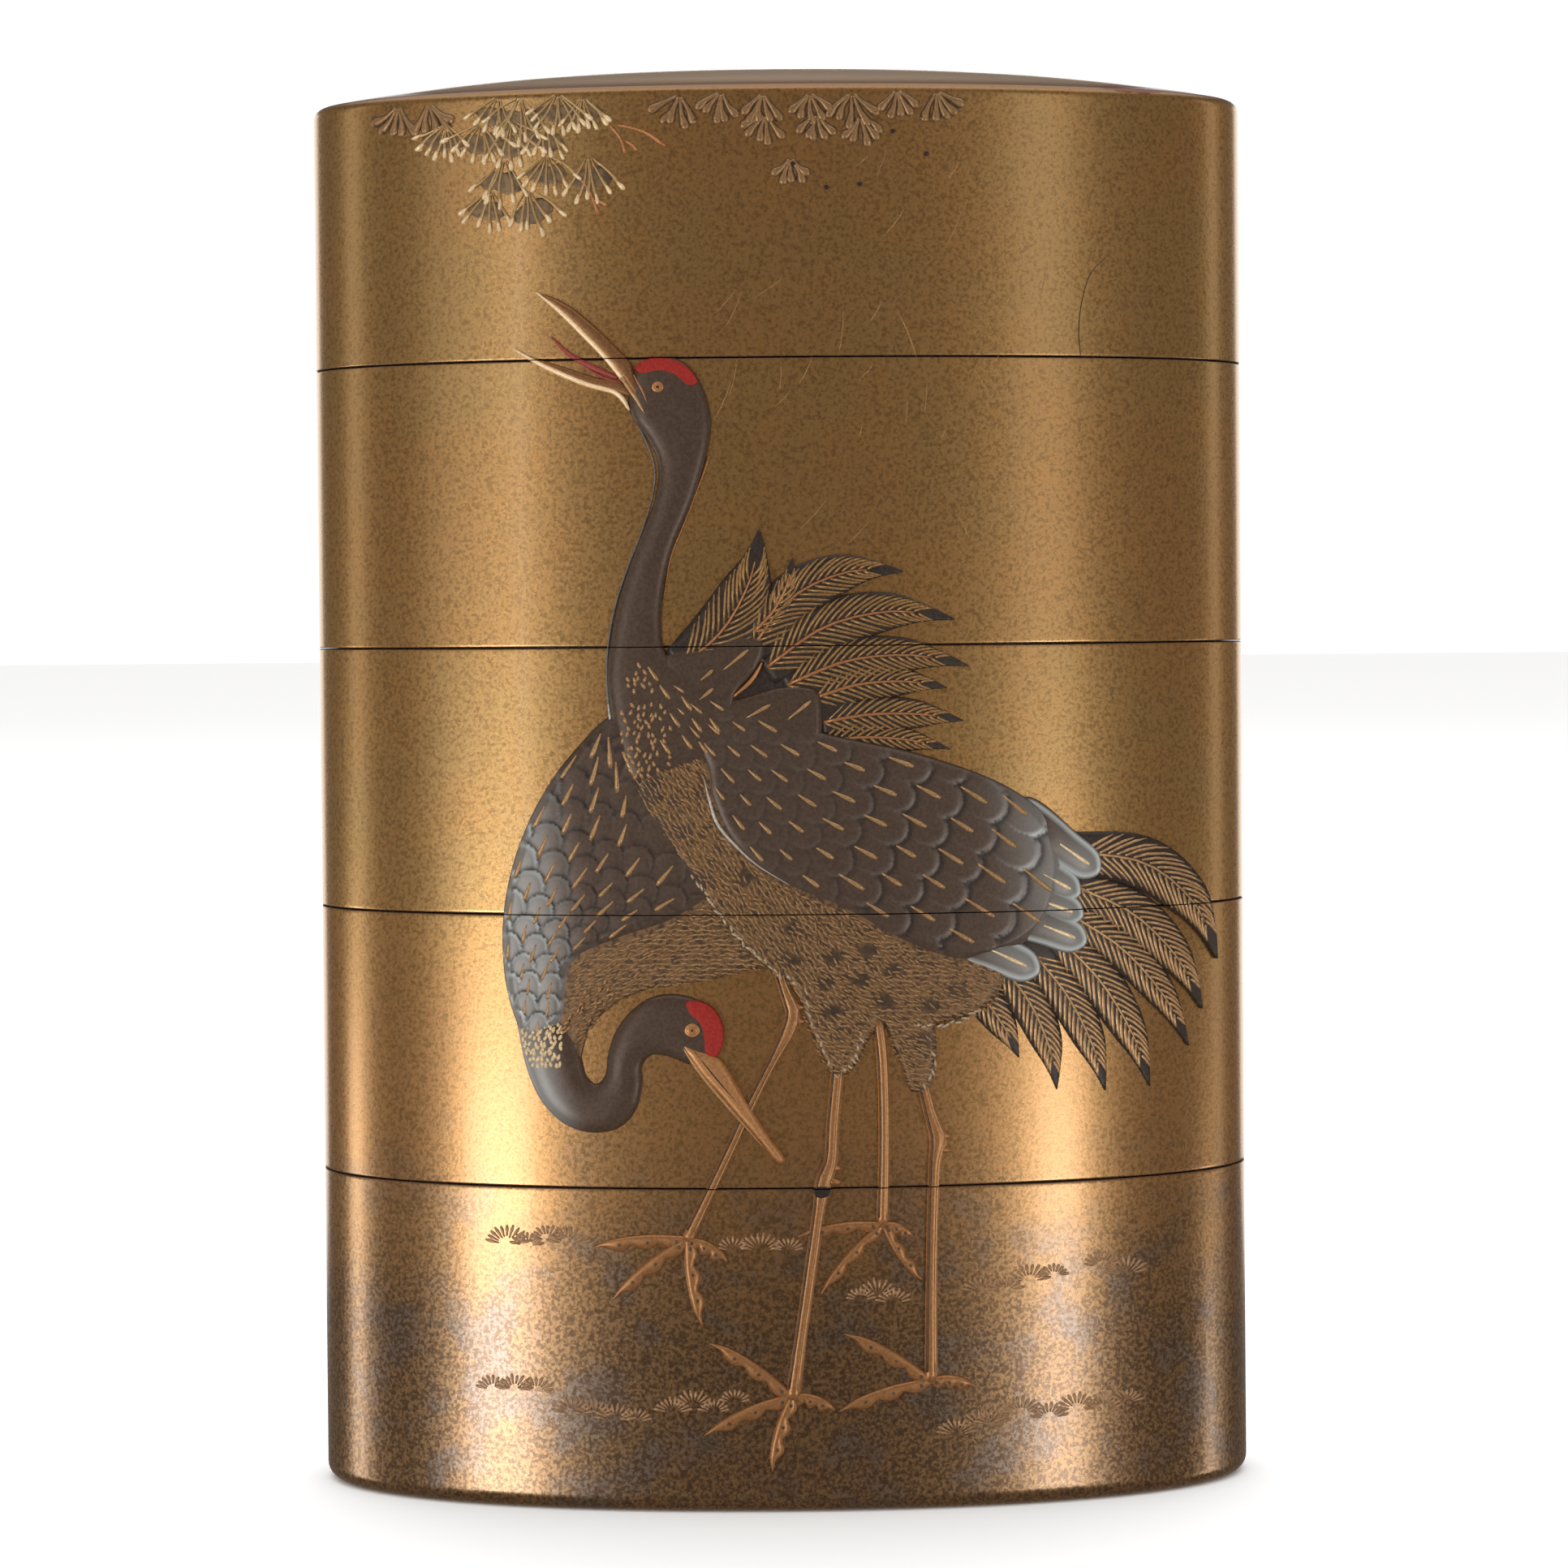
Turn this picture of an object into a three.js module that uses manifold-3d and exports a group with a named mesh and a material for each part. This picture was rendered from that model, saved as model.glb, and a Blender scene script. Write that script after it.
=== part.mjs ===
// An inro: a small Japanese case of a lid and four stacked boxes, carried on a cord.
// Flattened oval plan. Each box has an outer wall, a recessed floor, a compartment and a thin
// riser that stands up into the socket of the piece above. The cord runs down a channel
// in each narrow end. Two cranes, a pine and its needles stand up from the lacquer.
// Millimetres, +Z up. The case stands on its flat base with its front towards -Y.

import * as THREE from 'three';
import { mergeVertices } from 'three/addons/utils/BufferGeometryUtils.js';
import Module from 'manifold-3d';

const wasm = await Module();
wasm.setup();

// ---- Driving dimensions ------------------------------------------------------------------

const WIDTH = 58;
const DEPTH = 24.8;
const OUTLINE_POWER = 2.1;      // 2 is an ellipse, more is squarer
const SEGMENTS = 36;            // facets round every ring, a multiple of four

// Wall heights between the seams, from the bottom piece up
const STACK = [
  { name: 'case_4', height: 19.6 },
  { name: 'case_3', height: 16.5 },
  { name: 'case_2', height: 16.1 },
  { name: 'case_1', height: 17.3 },
  { name: 'lid', height: 16.4 },
];

const SEAM_CHAMFER = 0.15;      // makes the fine dark line where two pieces meet
const BASE_ROUND = 1.0;         // radius round the foot of the lowest case
const LID_ROUND = 0.7;          // radius round the top edge of the lid
const DOME_RISE = 2.1;
const DOME_POWER = 2.8;
const DOME_STEPS = [1, 0.88, 0.66, 0.34];

const RISER_WIDTH = 45.8;       // outside of the riser
const RISER_DEPTH = 21;
const RISER_POWER = 2.6;
const RISER_WALL = 0.9;
const RISER_HEIGHT = 5;
const SOCKET_FIT = 0.2;         // play round the riser
const SOCKET_DEPTH = 5.4;
const FLOOR = 1.4;
const BASE_FLOOR = 1.8;
const ROOF = 1.8;

const CHANNEL_X = 26;           // cord channel, each side of the middle
const CHANNEL_DIAMETER = 2.6;
const CHANNEL_SIDES = 12;

// Heights of the raised lacquer above the ground
const RELIEF = { plume: 0.25, pine: 0.25, limb: 0.35, far_bird: 0.5, near_bird: 0.6, wing: 0.75 };
const RELIEF_ROOT = 0.8;        // how far each raised shape is rooted in the wall

// ---- Small helpers -----------------------------------------------------------------------

const OUTER = { width: WIDTH, depth: DEPTH, power: OUTLINE_POWER };
const RISER = { width: RISER_WIDTH, depth: RISER_DEPTH, power: RISER_POWER };

// A point of an oval plan at an angle, moved out along the plan's normal
function planPoint(plan, angle, outset) {
  const halfWidth = plan.width / 2;
  const halfDepth = plan.depth / 2;
  const cos = Math.cos(angle);
  const sin = Math.sin(angle);
  const x = halfWidth * Math.sign(cos) * Math.abs(cos) ** (2 / plan.power);
  const y = halfDepth * Math.sign(sin) * Math.abs(sin) ** (2 / plan.power);
  const slopeX = Math.sign(x) * Math.abs(x / halfWidth) ** (plan.power - 1) / halfWidth;
  const slopeY = Math.sign(y) * Math.abs(y / halfDepth) ** (plan.power - 1) / halfDepth;
  const length = Math.hypot(slopeX, slopeY);
  return [x + outset * slopeX / length, y + outset * slopeY / length];
}

// One level of a loft: a plan, pushed out by outset, scaled about the middle, at a height
function ring(plan, z, outset = 0, scale = 1) {
  const points = [];
  for (let i = 0; i < SEGMENTS; i += 1) {
    const quarter = SEGMENTS / 4;
    const onAxis = i % quarter === 0;
    const angle = onAxis ? (i / quarter) * Math.PI / 2 : (i / SEGMENTS) * 2 * Math.PI;
    const [x, y] = planPoint(plan, angle, outset);
    points.push([x * scale, y * scale, z]);
  }
  return { points, z };
}

// One closed skin through a list of rings, with a fan over each end
function loft(rings) {
  const vertices = rings.flatMap((level) => level.points);
  const triangles = [];
  const first = vertices.push([0, 0, rings[0].z]) - 1;
  const last = vertices.push([0, 0, rings[rings.length - 1].z]) - 1;
  const top = (rings.length - 1) * SEGMENTS;
  for (let i = 0; i < SEGMENTS; i += 1) {
    const next = (i + 1) % SEGMENTS;
    triangles.push(first, next, i);
    triangles.push(last, top + i, top + next);
    for (let level = 0; level < top; level += SEGMENTS) {
      triangles.push(level + i, level + next, level + SEGMENTS + next);
      triangles.push(level + i, level + SEGMENTS + next, level + SEGMENTS + i);
    }
  }
  return new wasm.Manifold(new wasm.Mesh({
    numProp: 3,
    vertProperties: new Float32Array(vertices.flat()),
    triVerts: new Uint32Array(triangles),
  }));
}

function solidOf(geometry) {
  const bare = geometry.clone();
  bare.deleteAttribute('normal');
  bare.deleteAttribute('uv');
  const merged = mergeVertices(bare);
  return new wasm.Manifold(new wasm.Mesh({
    numProp: 3,
    vertProperties: new Float32Array(merged.attributes.position.array),
    triVerts: new Uint32Array(merged.index.array),
  }));
}

function geometryOf(solid) {
  const mesh = solid.getMesh();
  const geometry = new THREE.BufferGeometry();
  geometry.setAttribute('position', new THREE.BufferAttribute(mesh.vertProperties, 3));
  geometry.setIndex(new THREE.BufferAttribute(mesh.triVerts, 1));
  geometry.computeVertexNormals();
  return geometry;
}

// Rings of a quarter-round edge, from outset 0 to its full radius inwards
function roundedEdge(radius, z, direction, steps) {
  const levels = [];
  for (let i = 0; i <= steps; i += 1) {
    const angle = (i / steps) * Math.PI / 2;
    levels.push(ring(OUTER, z + direction * radius * Math.sin(angle), radius * (Math.cos(angle) - 1)));
  }
  return levels;
}

// ---- The five pieces, each standing on z = 0 -----------------------------------------------

function outerFoot(isBase) {
  if (isBase) {
    return roundedEdge(BASE_ROUND, BASE_ROUND, -1, 2).reverse();
  }
  return [ring(OUTER, 0, -SEAM_CHAMFER), ring(OUTER, SEAM_CHAMFER)];
}

function outerHead(height, isLid) {
  if (isLid) {
    return roundedEdge(LID_ROUND, height - LID_ROUND, 1, 2);
  }
  return [ring(OUTER, height - SEAM_CHAMFER), ring(OUTER, height, -SEAM_CHAMFER)];
}

// A case: socket below (the lowest has none), wall, rim, riser and compartment
function caseSolid(height, isBase) {
  const socket = isBase ? [] : [ring(RISER, SOCKET_DEPTH, SOCKET_FIT), ring(RISER, 0, SOCKET_FIT)];
  const floorTop = isBase ? BASE_FLOOR : SOCKET_DEPTH + FLOOR;
  const lip = height + RISER_HEIGHT;
  return loft([
    ...socket,
    ...outerFoot(isBase),
    ...outerHead(height, false),
    ring(RISER, height),
    ring(RISER, lip),
    ring(RISER, lip, -RISER_WALL),
    ring(RISER, floorTop, -RISER_WALL),
  ]);
}

// The lid: hollow up to a roof that follows the dome
function lidSolid(height) {
  const roof = DOME_STEPS.map((scale) => {
    const rise = DOME_RISE * (1 - scale ** DOME_POWER);
    return ring(RISER, height - ROOF + rise, SOCKET_FIT, scale);
  });
  const dome = DOME_STEPS.slice(1).map((scale) => {
    const rise = DOME_RISE * (1 - scale ** DOME_POWER);
    return ring(OUTER, height + rise, -LID_ROUND, scale);
  });
  return loft([
    ...roof.reverse(),
    ring(RISER, 0, SOCKET_FIT),
    ...outerFoot(false),
    ...outerHead(height, true),
    ...dome,
  ]);
}

function cordChannels() {
  const length = 3 * DEPTH;
  const bores = [-1, 1].map((side) => {
    const radius = CHANNEL_DIAMETER / 2;
    const bore = new THREE.CylinderGeometry(radius, radius, length, CHANNEL_SIDES);
    bore.rotateX(Math.PI / 2);
    bore.translate(side * CHANNEL_X, 0, 0);
    return solidOf(bore);
  });
  return bores[0].add(bores[1]);
}

// ---- Raised lacquer: shapes drawn flat on the front, x across and y up from the base --------

// A closed smooth outline through a few points
function outline(points, steps) {
  const corners = points.map(([x, y]) => new THREE.Vector3(x, y, 0));
  const curve = new THREE.CatmullRomCurve3(corners, true, 'centripetal');
  return new THREE.Shape(curve.getPoints(steps).slice(0, -1).map((p) => new THREE.Vector2(p.x, p.y)));
}

// A ribbon along a smooth spine whose rows are [x, y, width]
function ribbon(rows, steps) {
  const corners = rows.map(([x, y, width]) => new THREE.Vector3(x, y, width));
  const curve = new THREE.CatmullRomCurve3(corners, false, 'centripetal');
  const left = [];
  const right = [];
  for (let i = 0; i <= steps; i += 1) {
    const point = curve.getPoint(i / steps);
    const tangent = curve.getTangent(i / steps);
    const across = new THREE.Vector2(-tangent.y, tangent.x).setLength(point.z / 2);
    left.push(new THREE.Vector2(point.x + across.x, point.y + across.y));
    right.unshift(new THREE.Vector2(point.x - across.x, point.y - across.y));
  }
  return new THREE.Shape([...left, ...right]);
}

// A feather from root to tip that bows sideways by bow and narrows to a point
function feather(root, tip, bow, width) {
  const [x0, y0] = root;
  const [x1, y1] = tip;
  const rows = [[0, 0.6], [0.4, 1], [0.75, 0.8], [1, 0.1]].map(([t, share]) => {
    const lift = 4 * t * (1 - t) * bow / Math.hypot(x1 - x0, y1 - y0);
    const x = x0 + t * (x1 - x0) - lift * (y1 - y0);
    const y = y0 + t * (y1 - y0) + lift * (x1 - x0);
    return [x, y, width * share];
  });
  return ribbon(rows, 4);
}

// A fan of pine needles: scalloped sector round a hub
function needleFan([x, y, reach, aim, spread]) {
  const needles = 3;
  const points = [new THREE.Vector2(x, y)];
  for (let i = 0; i <= 2 * needles; i += 1) {
    const angle = (aim - spread / 2 + (i * spread) / (2 * needles)) * Math.PI / 180;
    const length = i % 2 === 0 ? reach * 0.82 : reach;
    points.push(new THREE.Vector2(x + length * Math.cos(angle), y + length * Math.sin(angle)));
  }
  return new THREE.Shape(points);
}

// A foot: toes that narrow from the hub to their claws
function foot([x, y], claws) {
  return claws.map(([x1, y1]) => {
    const sag = 0.3;
    const rows = [[x, y, 0.8], [(x + x1) / 2, (y + y1) / 2 - sag, 0.85], [x1, y1, 0.25]];
    return ribbon(rows, 3);
  });
}

// The near crane stands upright and calls, its wing half closed over a fan of tail feathers
const NEAR_BODY = outline([
  [-10.2, 50.5], [-9.9, 46], [-7.9, 41.8], [-4.1, 36.4], [0.6, 31.8], [5, 29.6], [11.5, 30.2],
  [16, 34], [17, 40], [9, 46], [1, 48.6], [-6.6, 52.6], [-8.6, 53],
], 20);
const NEAR_NECK = ribbon([
  [-6, 65.4, 3.8], [-5.8, 62.7, 2.8], [-6.4, 60.2, 2.3], [-7.4, 57.2, 2.5], [-8.2, 54.6, 2.8],
  [-8.6, 51.6, 3.2],
], 10);
const NEAR_HEAD = outline([
  [-8.6, 67.6], [-7.9, 69], [-6.2, 69.5], [-4.6, 68.7], [-3.9, 66.6], [-4.6, 64.6], [-7, 64.6],
], 12);
const NEAR_WING = outline([
  [-6.9, 50.3], [-3, 48.6], [2.5, 47], [8.5, 45.9], [14, 43.4], [17.6, 40.8], [17, 36],
  [13.5, 33], [9.6, 33.2], [3.8, 36.2], [-0.4, 38], [-3.2, 40.4], [-4.4, 43.6], [-5.6, 46.6],
], 24);
const NEAR_WING_TIPS = [
  ribbon([[12, 41, 2.6], [17, 38.8, 2.2], [19.1, 38.2, 0.9]], 4),
  ribbon([[12, 38.4, 2.8], [16.6, 36, 2.4], [18.5, 35.3, 1.1]], 4),
  ribbon([[11, 36.6, 2.4], [16.6, 34.2, 2.2], [18.4, 33.8, 1]], 4),
  ribbon([[8, 35.2, 2.4], [13.6, 32.9, 2.2], [15.7, 32.4, 1]], 4),
];
const NEAR_THIGHS = [
  ribbon([[0.6, 32.4, 4.6], [2.2, 29.4, 3.8], [3.2, 27, 1.9], [3.4, 26.2, 1]], 6),
  ribbon([[6, 31, 4.4], [7.4, 28.2, 3], [8.2, 26, 1.5], [8.4, 25, 0.9]], 6),
];
const NEAR_BEAK = [
  ribbon([[-14.2, 73.4, 0.15], [-11.6, 71.2, 0.7], [-8, 67.4, 1.2]], 5),
  ribbon([[-15.6, 70, 0.15], [-12.6, 68.6, 0.7], [-8.6, 67, 1.1]], 5),
  ribbon([[-13.2, 70.7, 0.2], [-11.6, 69.3, 0.6], [-8.8, 68, 0.8]], 4),
];
const NEAR_LEGS = [
  ribbon([[3.1, 26.6, 0.9], [2.7, 21.4, 0.85], [1.6, 15.4, 0.75], [0.3, 6.8, 0.8]], 7),
  ribbon([[8.3, 25.4, 0.7], [9.2, 22.4, 0.95], [8.9, 19.6, 0.75], [8.7, 7.8, 0.75]], 7),
];
const NEAR_FEET = [
  ...foot([0.3, 7.1], [[-4.4, 10], [-4.9, 4.8], [-0.8, 2.6], [2.8, 6.4]]),
  ...foot([8.7, 7.9], [[3.6, 10.5], [3.2, 6.3], [11.2, 7.5]]),
];
const NEAR_SHOULDER = [
  ribbon([[-6.8, 50, 2.6], [-3.4, 51, 2.6], [-1.2, 52, 1.2]], 4),
  ribbon([[-3.4, 48.4, 1.6], [0, 48.4, 2.4], [2.4, 48.9, 1]], 4),
];

// Flight feathers that rise behind the near crane's shoulder: root, tip, bow, width
const RAISED_PLUMES = [
  [[-6.6, 51.6], [-1.2, 59], -1.4, 3.2],
  [[-1.6, 53], [0.8, 57.4], -0.5, 1.6],
  [[-1.8, 52.4], [7.3, 56.6], 1.7, 2.7],
  [[-1, 51], [10.5, 53.7], 1.7, 2.6],
  [[0.2, 50], [11.3, 50.9], 1.2, 2.2],
  [[1.8, 49.4], [10, 49.6], 0.7, 1.8],
  [[2.4, 48], [11, 47.7], 0.4, 2.2],
].map((row) => feather(...row));

// Tail feathers that fall from under the wing tips
const TAIL_PLUMES = [
  [[17.6, 39.6], [26.7, 32.6], 2.2, 3.2],
  [[17.4, 37.6], [25.7, 29.6], 1.4, 2.8],
  [[17, 36], [24.8, 27.4], 1.1, 2.4],
  [[16.4, 34.6], [22.3, 25.1], 0.9, 2.6],
  [[15, 33.6], [19.5, 25], 0.7, 2.4],
  [[12.8, 33.2], [16.5, 25.2], 0.8, 2.4],
  [[10.4, 32.6], [14.2, 27.2], 0.4, 2.2],
].map((row) => feather(...row));

// The far crane stoops behind it and preens, its neck looped back
const FAR_BODY = outline([
  [-9.4, 48.2], [-12.8, 45.6], [-15.9, 40.8], [-17, 35], [-16.4, 29.6], [-14.8, 26.6], [-12.6, 28],
  [-11, 30.6], [-7, 32.4], [0.6, 32.6], [-2, 36], [-7, 42],
], 20);
const FAR_NECK = ribbon([
  [-14.2, 28.4, 3.4], [-13.6, 25.6, 3], [-11.2, 24.6, 3], [-9.2, 26.4, 2.3], [-8.8, 28.6, 2.2],
  [-7.6, 29.9, 2.4], [-5.6, 29.5, 3.4], [-4.1, 29.2, 2.2],
], 14);
const FAR_BEAK = ribbon([[-5.8, 28.4, 1.2], [-4.2, 26.8, 1.5], [-0.1, 21.4, 0.35]], 5);
const FAR_LEGS = [
  ribbon([[-0.5, 32.4, 0.6], [0.4, 29.6, 1], [-1.9, 25.2, 0.7], [-5.8, 16.6, 0.8]], 8),
  ribbon([[5.7, 29.4, 0.9], [5.9, 23, 0.8], [5.8, 17.2, 0.8]], 4),
];
const FAR_FEET = [
  ...foot([-5.9, 16.6], [[-11.5, 16.3], [-10.4, 13], [-5, 11.5], [-3.6, 15.3]]),
  ...foot([5.8, 17.4], [[0.9, 16.9], [2.3, 13.4], [8.2, 14.1], [7.7, 16.6]]),
];

// Pine boughs that hang in from the top edge: hub x, y, reach, aim and spread in degrees
const FRONT_FANS = [
  [-23.2, 85.3, 1.6, 265, 70], [-21.1, 84.2, 2.5, 258, 90], [-19, 85.2, 2.7, 240, 100],
  [-17.2, 84.5, 3.2, 258, 80], [-15.9, 85, 3.4, 300, 80], [-15.8, 81.9, 3.2, 275, 140],
  [-18, 79.5, 2.7, 265, 110], [-14.3, 79.8, 2.6, 285, 110], [-12.8, 83.8, 3, 290, 110],
  [-10, 81.6, 2.5, 300, 110], [-7, 85.2, 1.6, 272, 130],
  [-2.8, 85.2, 1.9, 265, 140], [-2.2, 84.2, 2.3, 262, 80], [0.2, 83.8, 3, 280, 75],
  [1.4, 81.1, 2.1, 280, 100], [3.1, 84.2, 1.9, 275, 100], [5.8, 85.2, 1.6, 275, 120],
  [6.8, 83.4, 2.1, 290, 110], [10, 85.2, 1.5, 285, 130],
];

// The tree itself is on the back, seen here as if facing the back
const BACK_TRUNK = [
  ribbon([
    [9, 1.6, 9], [6.4, 12, 6.4], [4.4, 24, 5.4], [-1.6, 38, 5], [-2.4, 50, 4.4], [1.6, 64, 3.8],
    [2.6, 84, 3.2],
  ], 10),
  ribbon([[-1, 45, 2.6], [-8, 52, 2], [-16, 55, 1.2], [-21, 54, 0.5]], 6),
  ribbon([[1, 62, 2.6], [9, 68, 2], [16, 70, 1.2], [21.5, 69, 0.5]], 6),
];
const BACK_FANS = [
  [-21, 54, 3.4, 250, 150], [-16.5, 55.4, 3.6, 262, 150], [-11.6, 54.2, 3.4, 250, 150],
  [21.6, 69, 3.2, 290, 150], [17, 70.4, 3.6, 278, 150], [12, 69.8, 3.4, 285, 150],
  [-14.6, 84.8, 3.4, 268, 140], [-9, 84.6, 3.2, 275, 140], [10, 84.6, 3.2, 265, 140],
];

// ---- Turning flat shapes into raised lacquer on the curved wall ---------------------------

function prism(shape, side) {
  const geometry = new THREE.ExtrudeGeometry(shape, { depth: DEPTH, bevelEnabled: false });
  geometry.rotateX(Math.PI / 2);
  if (side === 'back') {
    geometry.rotateZ(Math.PI);
  }
  return solidOf(geometry);
}

function prisms(shapes, side = 'front') {
  return shapes.map((shape) => prism(shape, side)).reduce((sum, next) => sum.add(next));
}

const RAISED = [
  [RELIEF.plume, prisms([...RAISED_PLUMES, ...TAIL_PLUMES])],
  [RELIEF.pine, prisms(FRONT_FANS.map(needleFan))],
  [RELIEF.limb, prisms([...NEAR_LEGS, ...NEAR_FEET, ...FAR_LEGS, ...FAR_FEET, FAR_BEAK, ...NEAR_BEAK])],
  [RELIEF.far_bird, prisms([FAR_BODY, FAR_NECK, ...NEAR_SHOULDER])],
  [RELIEF.near_bird, prisms([NEAR_BODY, NEAR_NECK, NEAR_HEAD, ...NEAR_THIGHS])],
  [RELIEF.wing, prisms([NEAR_WING, ...NEAR_WING_TIPS])],
  [RELIEF.pine, prisms(BACK_FANS.map(needleFan), 'back')],
  [RELIEF.wing, prisms(BACK_TRUNK, 'back')],
];

// The slice of wall between two seams, pushed out by outset
function wallSlice(bottom, top, outset) {
  return loft([
    ring(OUTER, bottom, outset - SEAM_CHAMFER),
    ring(OUTER, bottom + SEAM_CHAMFER, outset),
    ring(OUTER, top - SEAM_CHAMFER, outset),
    ring(OUTER, top, outset - SEAM_CHAMFER),
  ]);
}

function raisedLacquer(bottom, top) {
  const core = wallSlice(bottom - 1, top + 1, -RELIEF_ROOT);
  return RAISED.map(([outset, shapes]) => {
    const skin = wallSlice(bottom, top, outset).subtract(core);
    return skin.intersect(shapes);
  }).reduce((sum, next) => sum.add(next));
}

// ---- The object ---------------------------------------------------------------------------

const LACQUER = {
  lid: 0x785330,
  case_1: 0x80582f,
  case_2: 0x84603a,
  case_3: 0x7c5a37,
  case_4: 0x6b5038,
};

function lacquer(name) {
  return new THREE.MeshStandardMaterial({ color: LACQUER[name], roughness: 0.38, metalness: 0.8 });
}

function buildInro() {
  const group = new THREE.Group();
  const channels = cordChannels();
  let bottom = 0;
  for (const { name, height } of STACK) {
    const isLid = name === 'lid';
    const isBase = bottom === 0;
    const shell = isLid ? lidSolid(height) : caseSolid(height, isBase);
    const reliefBottom = isBase ? BASE_ROUND : bottom;
    const reliefTop = isLid ? bottom + height - LID_ROUND : bottom + height;
    const raised = raisedLacquer(reliefBottom, reliefTop).translate([0, 0, -bottom]);
    const solid = shell.add(raised).subtract(channels);
    const mesh = new THREE.Mesh(geometryOf(solid), lacquer(name));
    mesh.name = name;
    mesh.position.z = bottom;
    group.add(mesh);
    bottom += height;
  }
  return group;
}

export default buildInro();
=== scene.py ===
"""Looks of the inro case: five stacked pieces in gold lacquer, with two cranes under a pine.

Relief is drawn flat, in millimetres: x across the side, z up from the base, h out of the wall. It is then
laid on the curved wall. Every drawn element is a closed solid, cut at the seams. Each piece of the case
is one mesh: its shell and the relief that lies on it.
"""

import math

import bmesh
import bpy
import numpy as np
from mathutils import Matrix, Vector
from mathutils.geometry import delaunay_2d_cdt


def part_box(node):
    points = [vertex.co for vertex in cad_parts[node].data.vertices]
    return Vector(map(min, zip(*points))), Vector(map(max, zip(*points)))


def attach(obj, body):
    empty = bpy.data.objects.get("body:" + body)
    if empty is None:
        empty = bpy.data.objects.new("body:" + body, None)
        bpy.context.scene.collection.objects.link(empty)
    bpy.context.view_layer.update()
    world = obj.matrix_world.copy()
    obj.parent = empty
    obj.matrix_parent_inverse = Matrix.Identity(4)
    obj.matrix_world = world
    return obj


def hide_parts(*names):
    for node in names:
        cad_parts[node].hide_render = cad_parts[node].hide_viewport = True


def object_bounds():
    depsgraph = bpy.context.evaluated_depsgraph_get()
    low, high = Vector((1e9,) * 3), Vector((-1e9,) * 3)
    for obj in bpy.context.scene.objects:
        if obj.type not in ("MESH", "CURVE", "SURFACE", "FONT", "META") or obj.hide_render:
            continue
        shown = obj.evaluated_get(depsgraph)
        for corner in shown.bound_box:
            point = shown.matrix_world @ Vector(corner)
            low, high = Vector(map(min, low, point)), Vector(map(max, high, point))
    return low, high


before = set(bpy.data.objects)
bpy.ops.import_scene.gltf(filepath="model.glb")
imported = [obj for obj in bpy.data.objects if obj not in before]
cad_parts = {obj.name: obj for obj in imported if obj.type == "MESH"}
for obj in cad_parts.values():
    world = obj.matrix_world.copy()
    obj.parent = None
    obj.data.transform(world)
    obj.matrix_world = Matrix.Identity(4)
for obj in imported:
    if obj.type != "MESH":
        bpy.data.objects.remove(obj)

cad_low, cad_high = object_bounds()

# ---- Sizes: millimetres, from the frame where it gives them --------------------------------------

MM = 0.001
STACK = ["case_4", "case_3", "case_2", "case_1", "lid"]
TALLEST_RELIEF = 0.75
DOME_RISE = 2.0
HALF_WIDTH = cad_high.x / MM
HALF_DEPTH = cad_high.y / MM - TALLEST_RELIEF
TOP = cad_high.z / MM - DOME_RISE
SEAMS = [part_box(name)[0].z / MM for name in STACK] + [TOP]
OUTLINE_POWER = 2.1

RISER_HALF_WIDTH = 22.9
RISER_HALF_DEPTH = 10.5
RISER_POWER = 2.6
RISER_WALL = 0.9
RISER_HEIGHT = 5.0
SOCKET_FIT = 0.2
SOCKET_DEPTH = 5.4
FLOOR = 1.4
BASE_FLOOR = 1.8
ROOF = 1.8
BASE_ROUND = 1.0
LID_ROUND = 0.7
RIM_ROUND = 0.09                # soft edge at each seam
SEAM_GAP = 0.035                # each side of a seam
DOME_POWER = 2.8
CHANNEL_X = 26
CHANNEL_RADIUS = 1.3
AROUND = 240                    # points round each ring of a shell
CAMERA_PLACE = (0, -0.25, 0.0545)       # metres
CAMERA_PITCH = -1.2             # degrees
CAMERA_ROLL = 0.5
CAMERA_LENS = 91.06
CAMERA_SENSOR = 36
CAMERA_SHIFT = (0.0026, -0.0595)

RNG = np.random.default_rng(7)

# ---- Curves drawn flat ---------------------------------------------------------------------------


def spline(rows, steps, closed=False):
    """Centripetal Catmull-Rom curve through rows of any width, with steps samples in each span."""
    rows = np.asarray(rows, float)
    if closed:
        padded = np.vstack([rows[-1:], rows, rows[:2]])
    else:
        padded = np.vstack([2 * rows[:1] - rows[1:2], rows, 2 * rows[-1:] - rows[-2:-1]])
    found = []
    for p0, p1, p2, p3 in zip(padded, padded[1:], padded[2:], padded[3:]):
        d0, d1, d2 = (max(np.linalg.norm(b - a), 1e-6) ** 0.5 for a, b in ((p0, p1), (p1, p2), (p2, p3)))
        m1 = ((p1 - p0) / d0 - (p2 - p0) / (d0 + d1) + (p2 - p1) / d1) * d1
        m2 = ((p2 - p1) / d1 - (p3 - p1) / (d1 + d2) + (p3 - p2) / d2) * d1
        t = (np.arange(steps) / steps)[:, None]
        found.append(p1 + m1 * t + (3 * (p2 - p1) - 2 * m1 - m2) * t**2 + (2 * (p1 - p2) + m1 + m2) * t**3)
    if not closed:
        found.append(rows[-1:])
    return np.vstack(found)


def lengths(path):
    """Distance along a path to each of its points, over the first two columns."""
    return np.concatenate([[0], np.cumsum(np.linalg.norm(np.diff(path[:, :2], axis=0), axis=1))])


def at_lengths(path, wanted):
    """Points of a path at given distances along it."""
    along = lengths(path)
    return np.column_stack([np.interp(wanted, along, column) for column in path.T])


def sideways(path):
    """Unit vectors across a path, to its left."""
    step = np.gradient(path[:, :2], axis=0)
    step /= np.maximum(np.linalg.norm(step, axis=1), 1e-9)[:, None]
    return np.column_stack([-step[:, 1], step[:, 0]])


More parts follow.
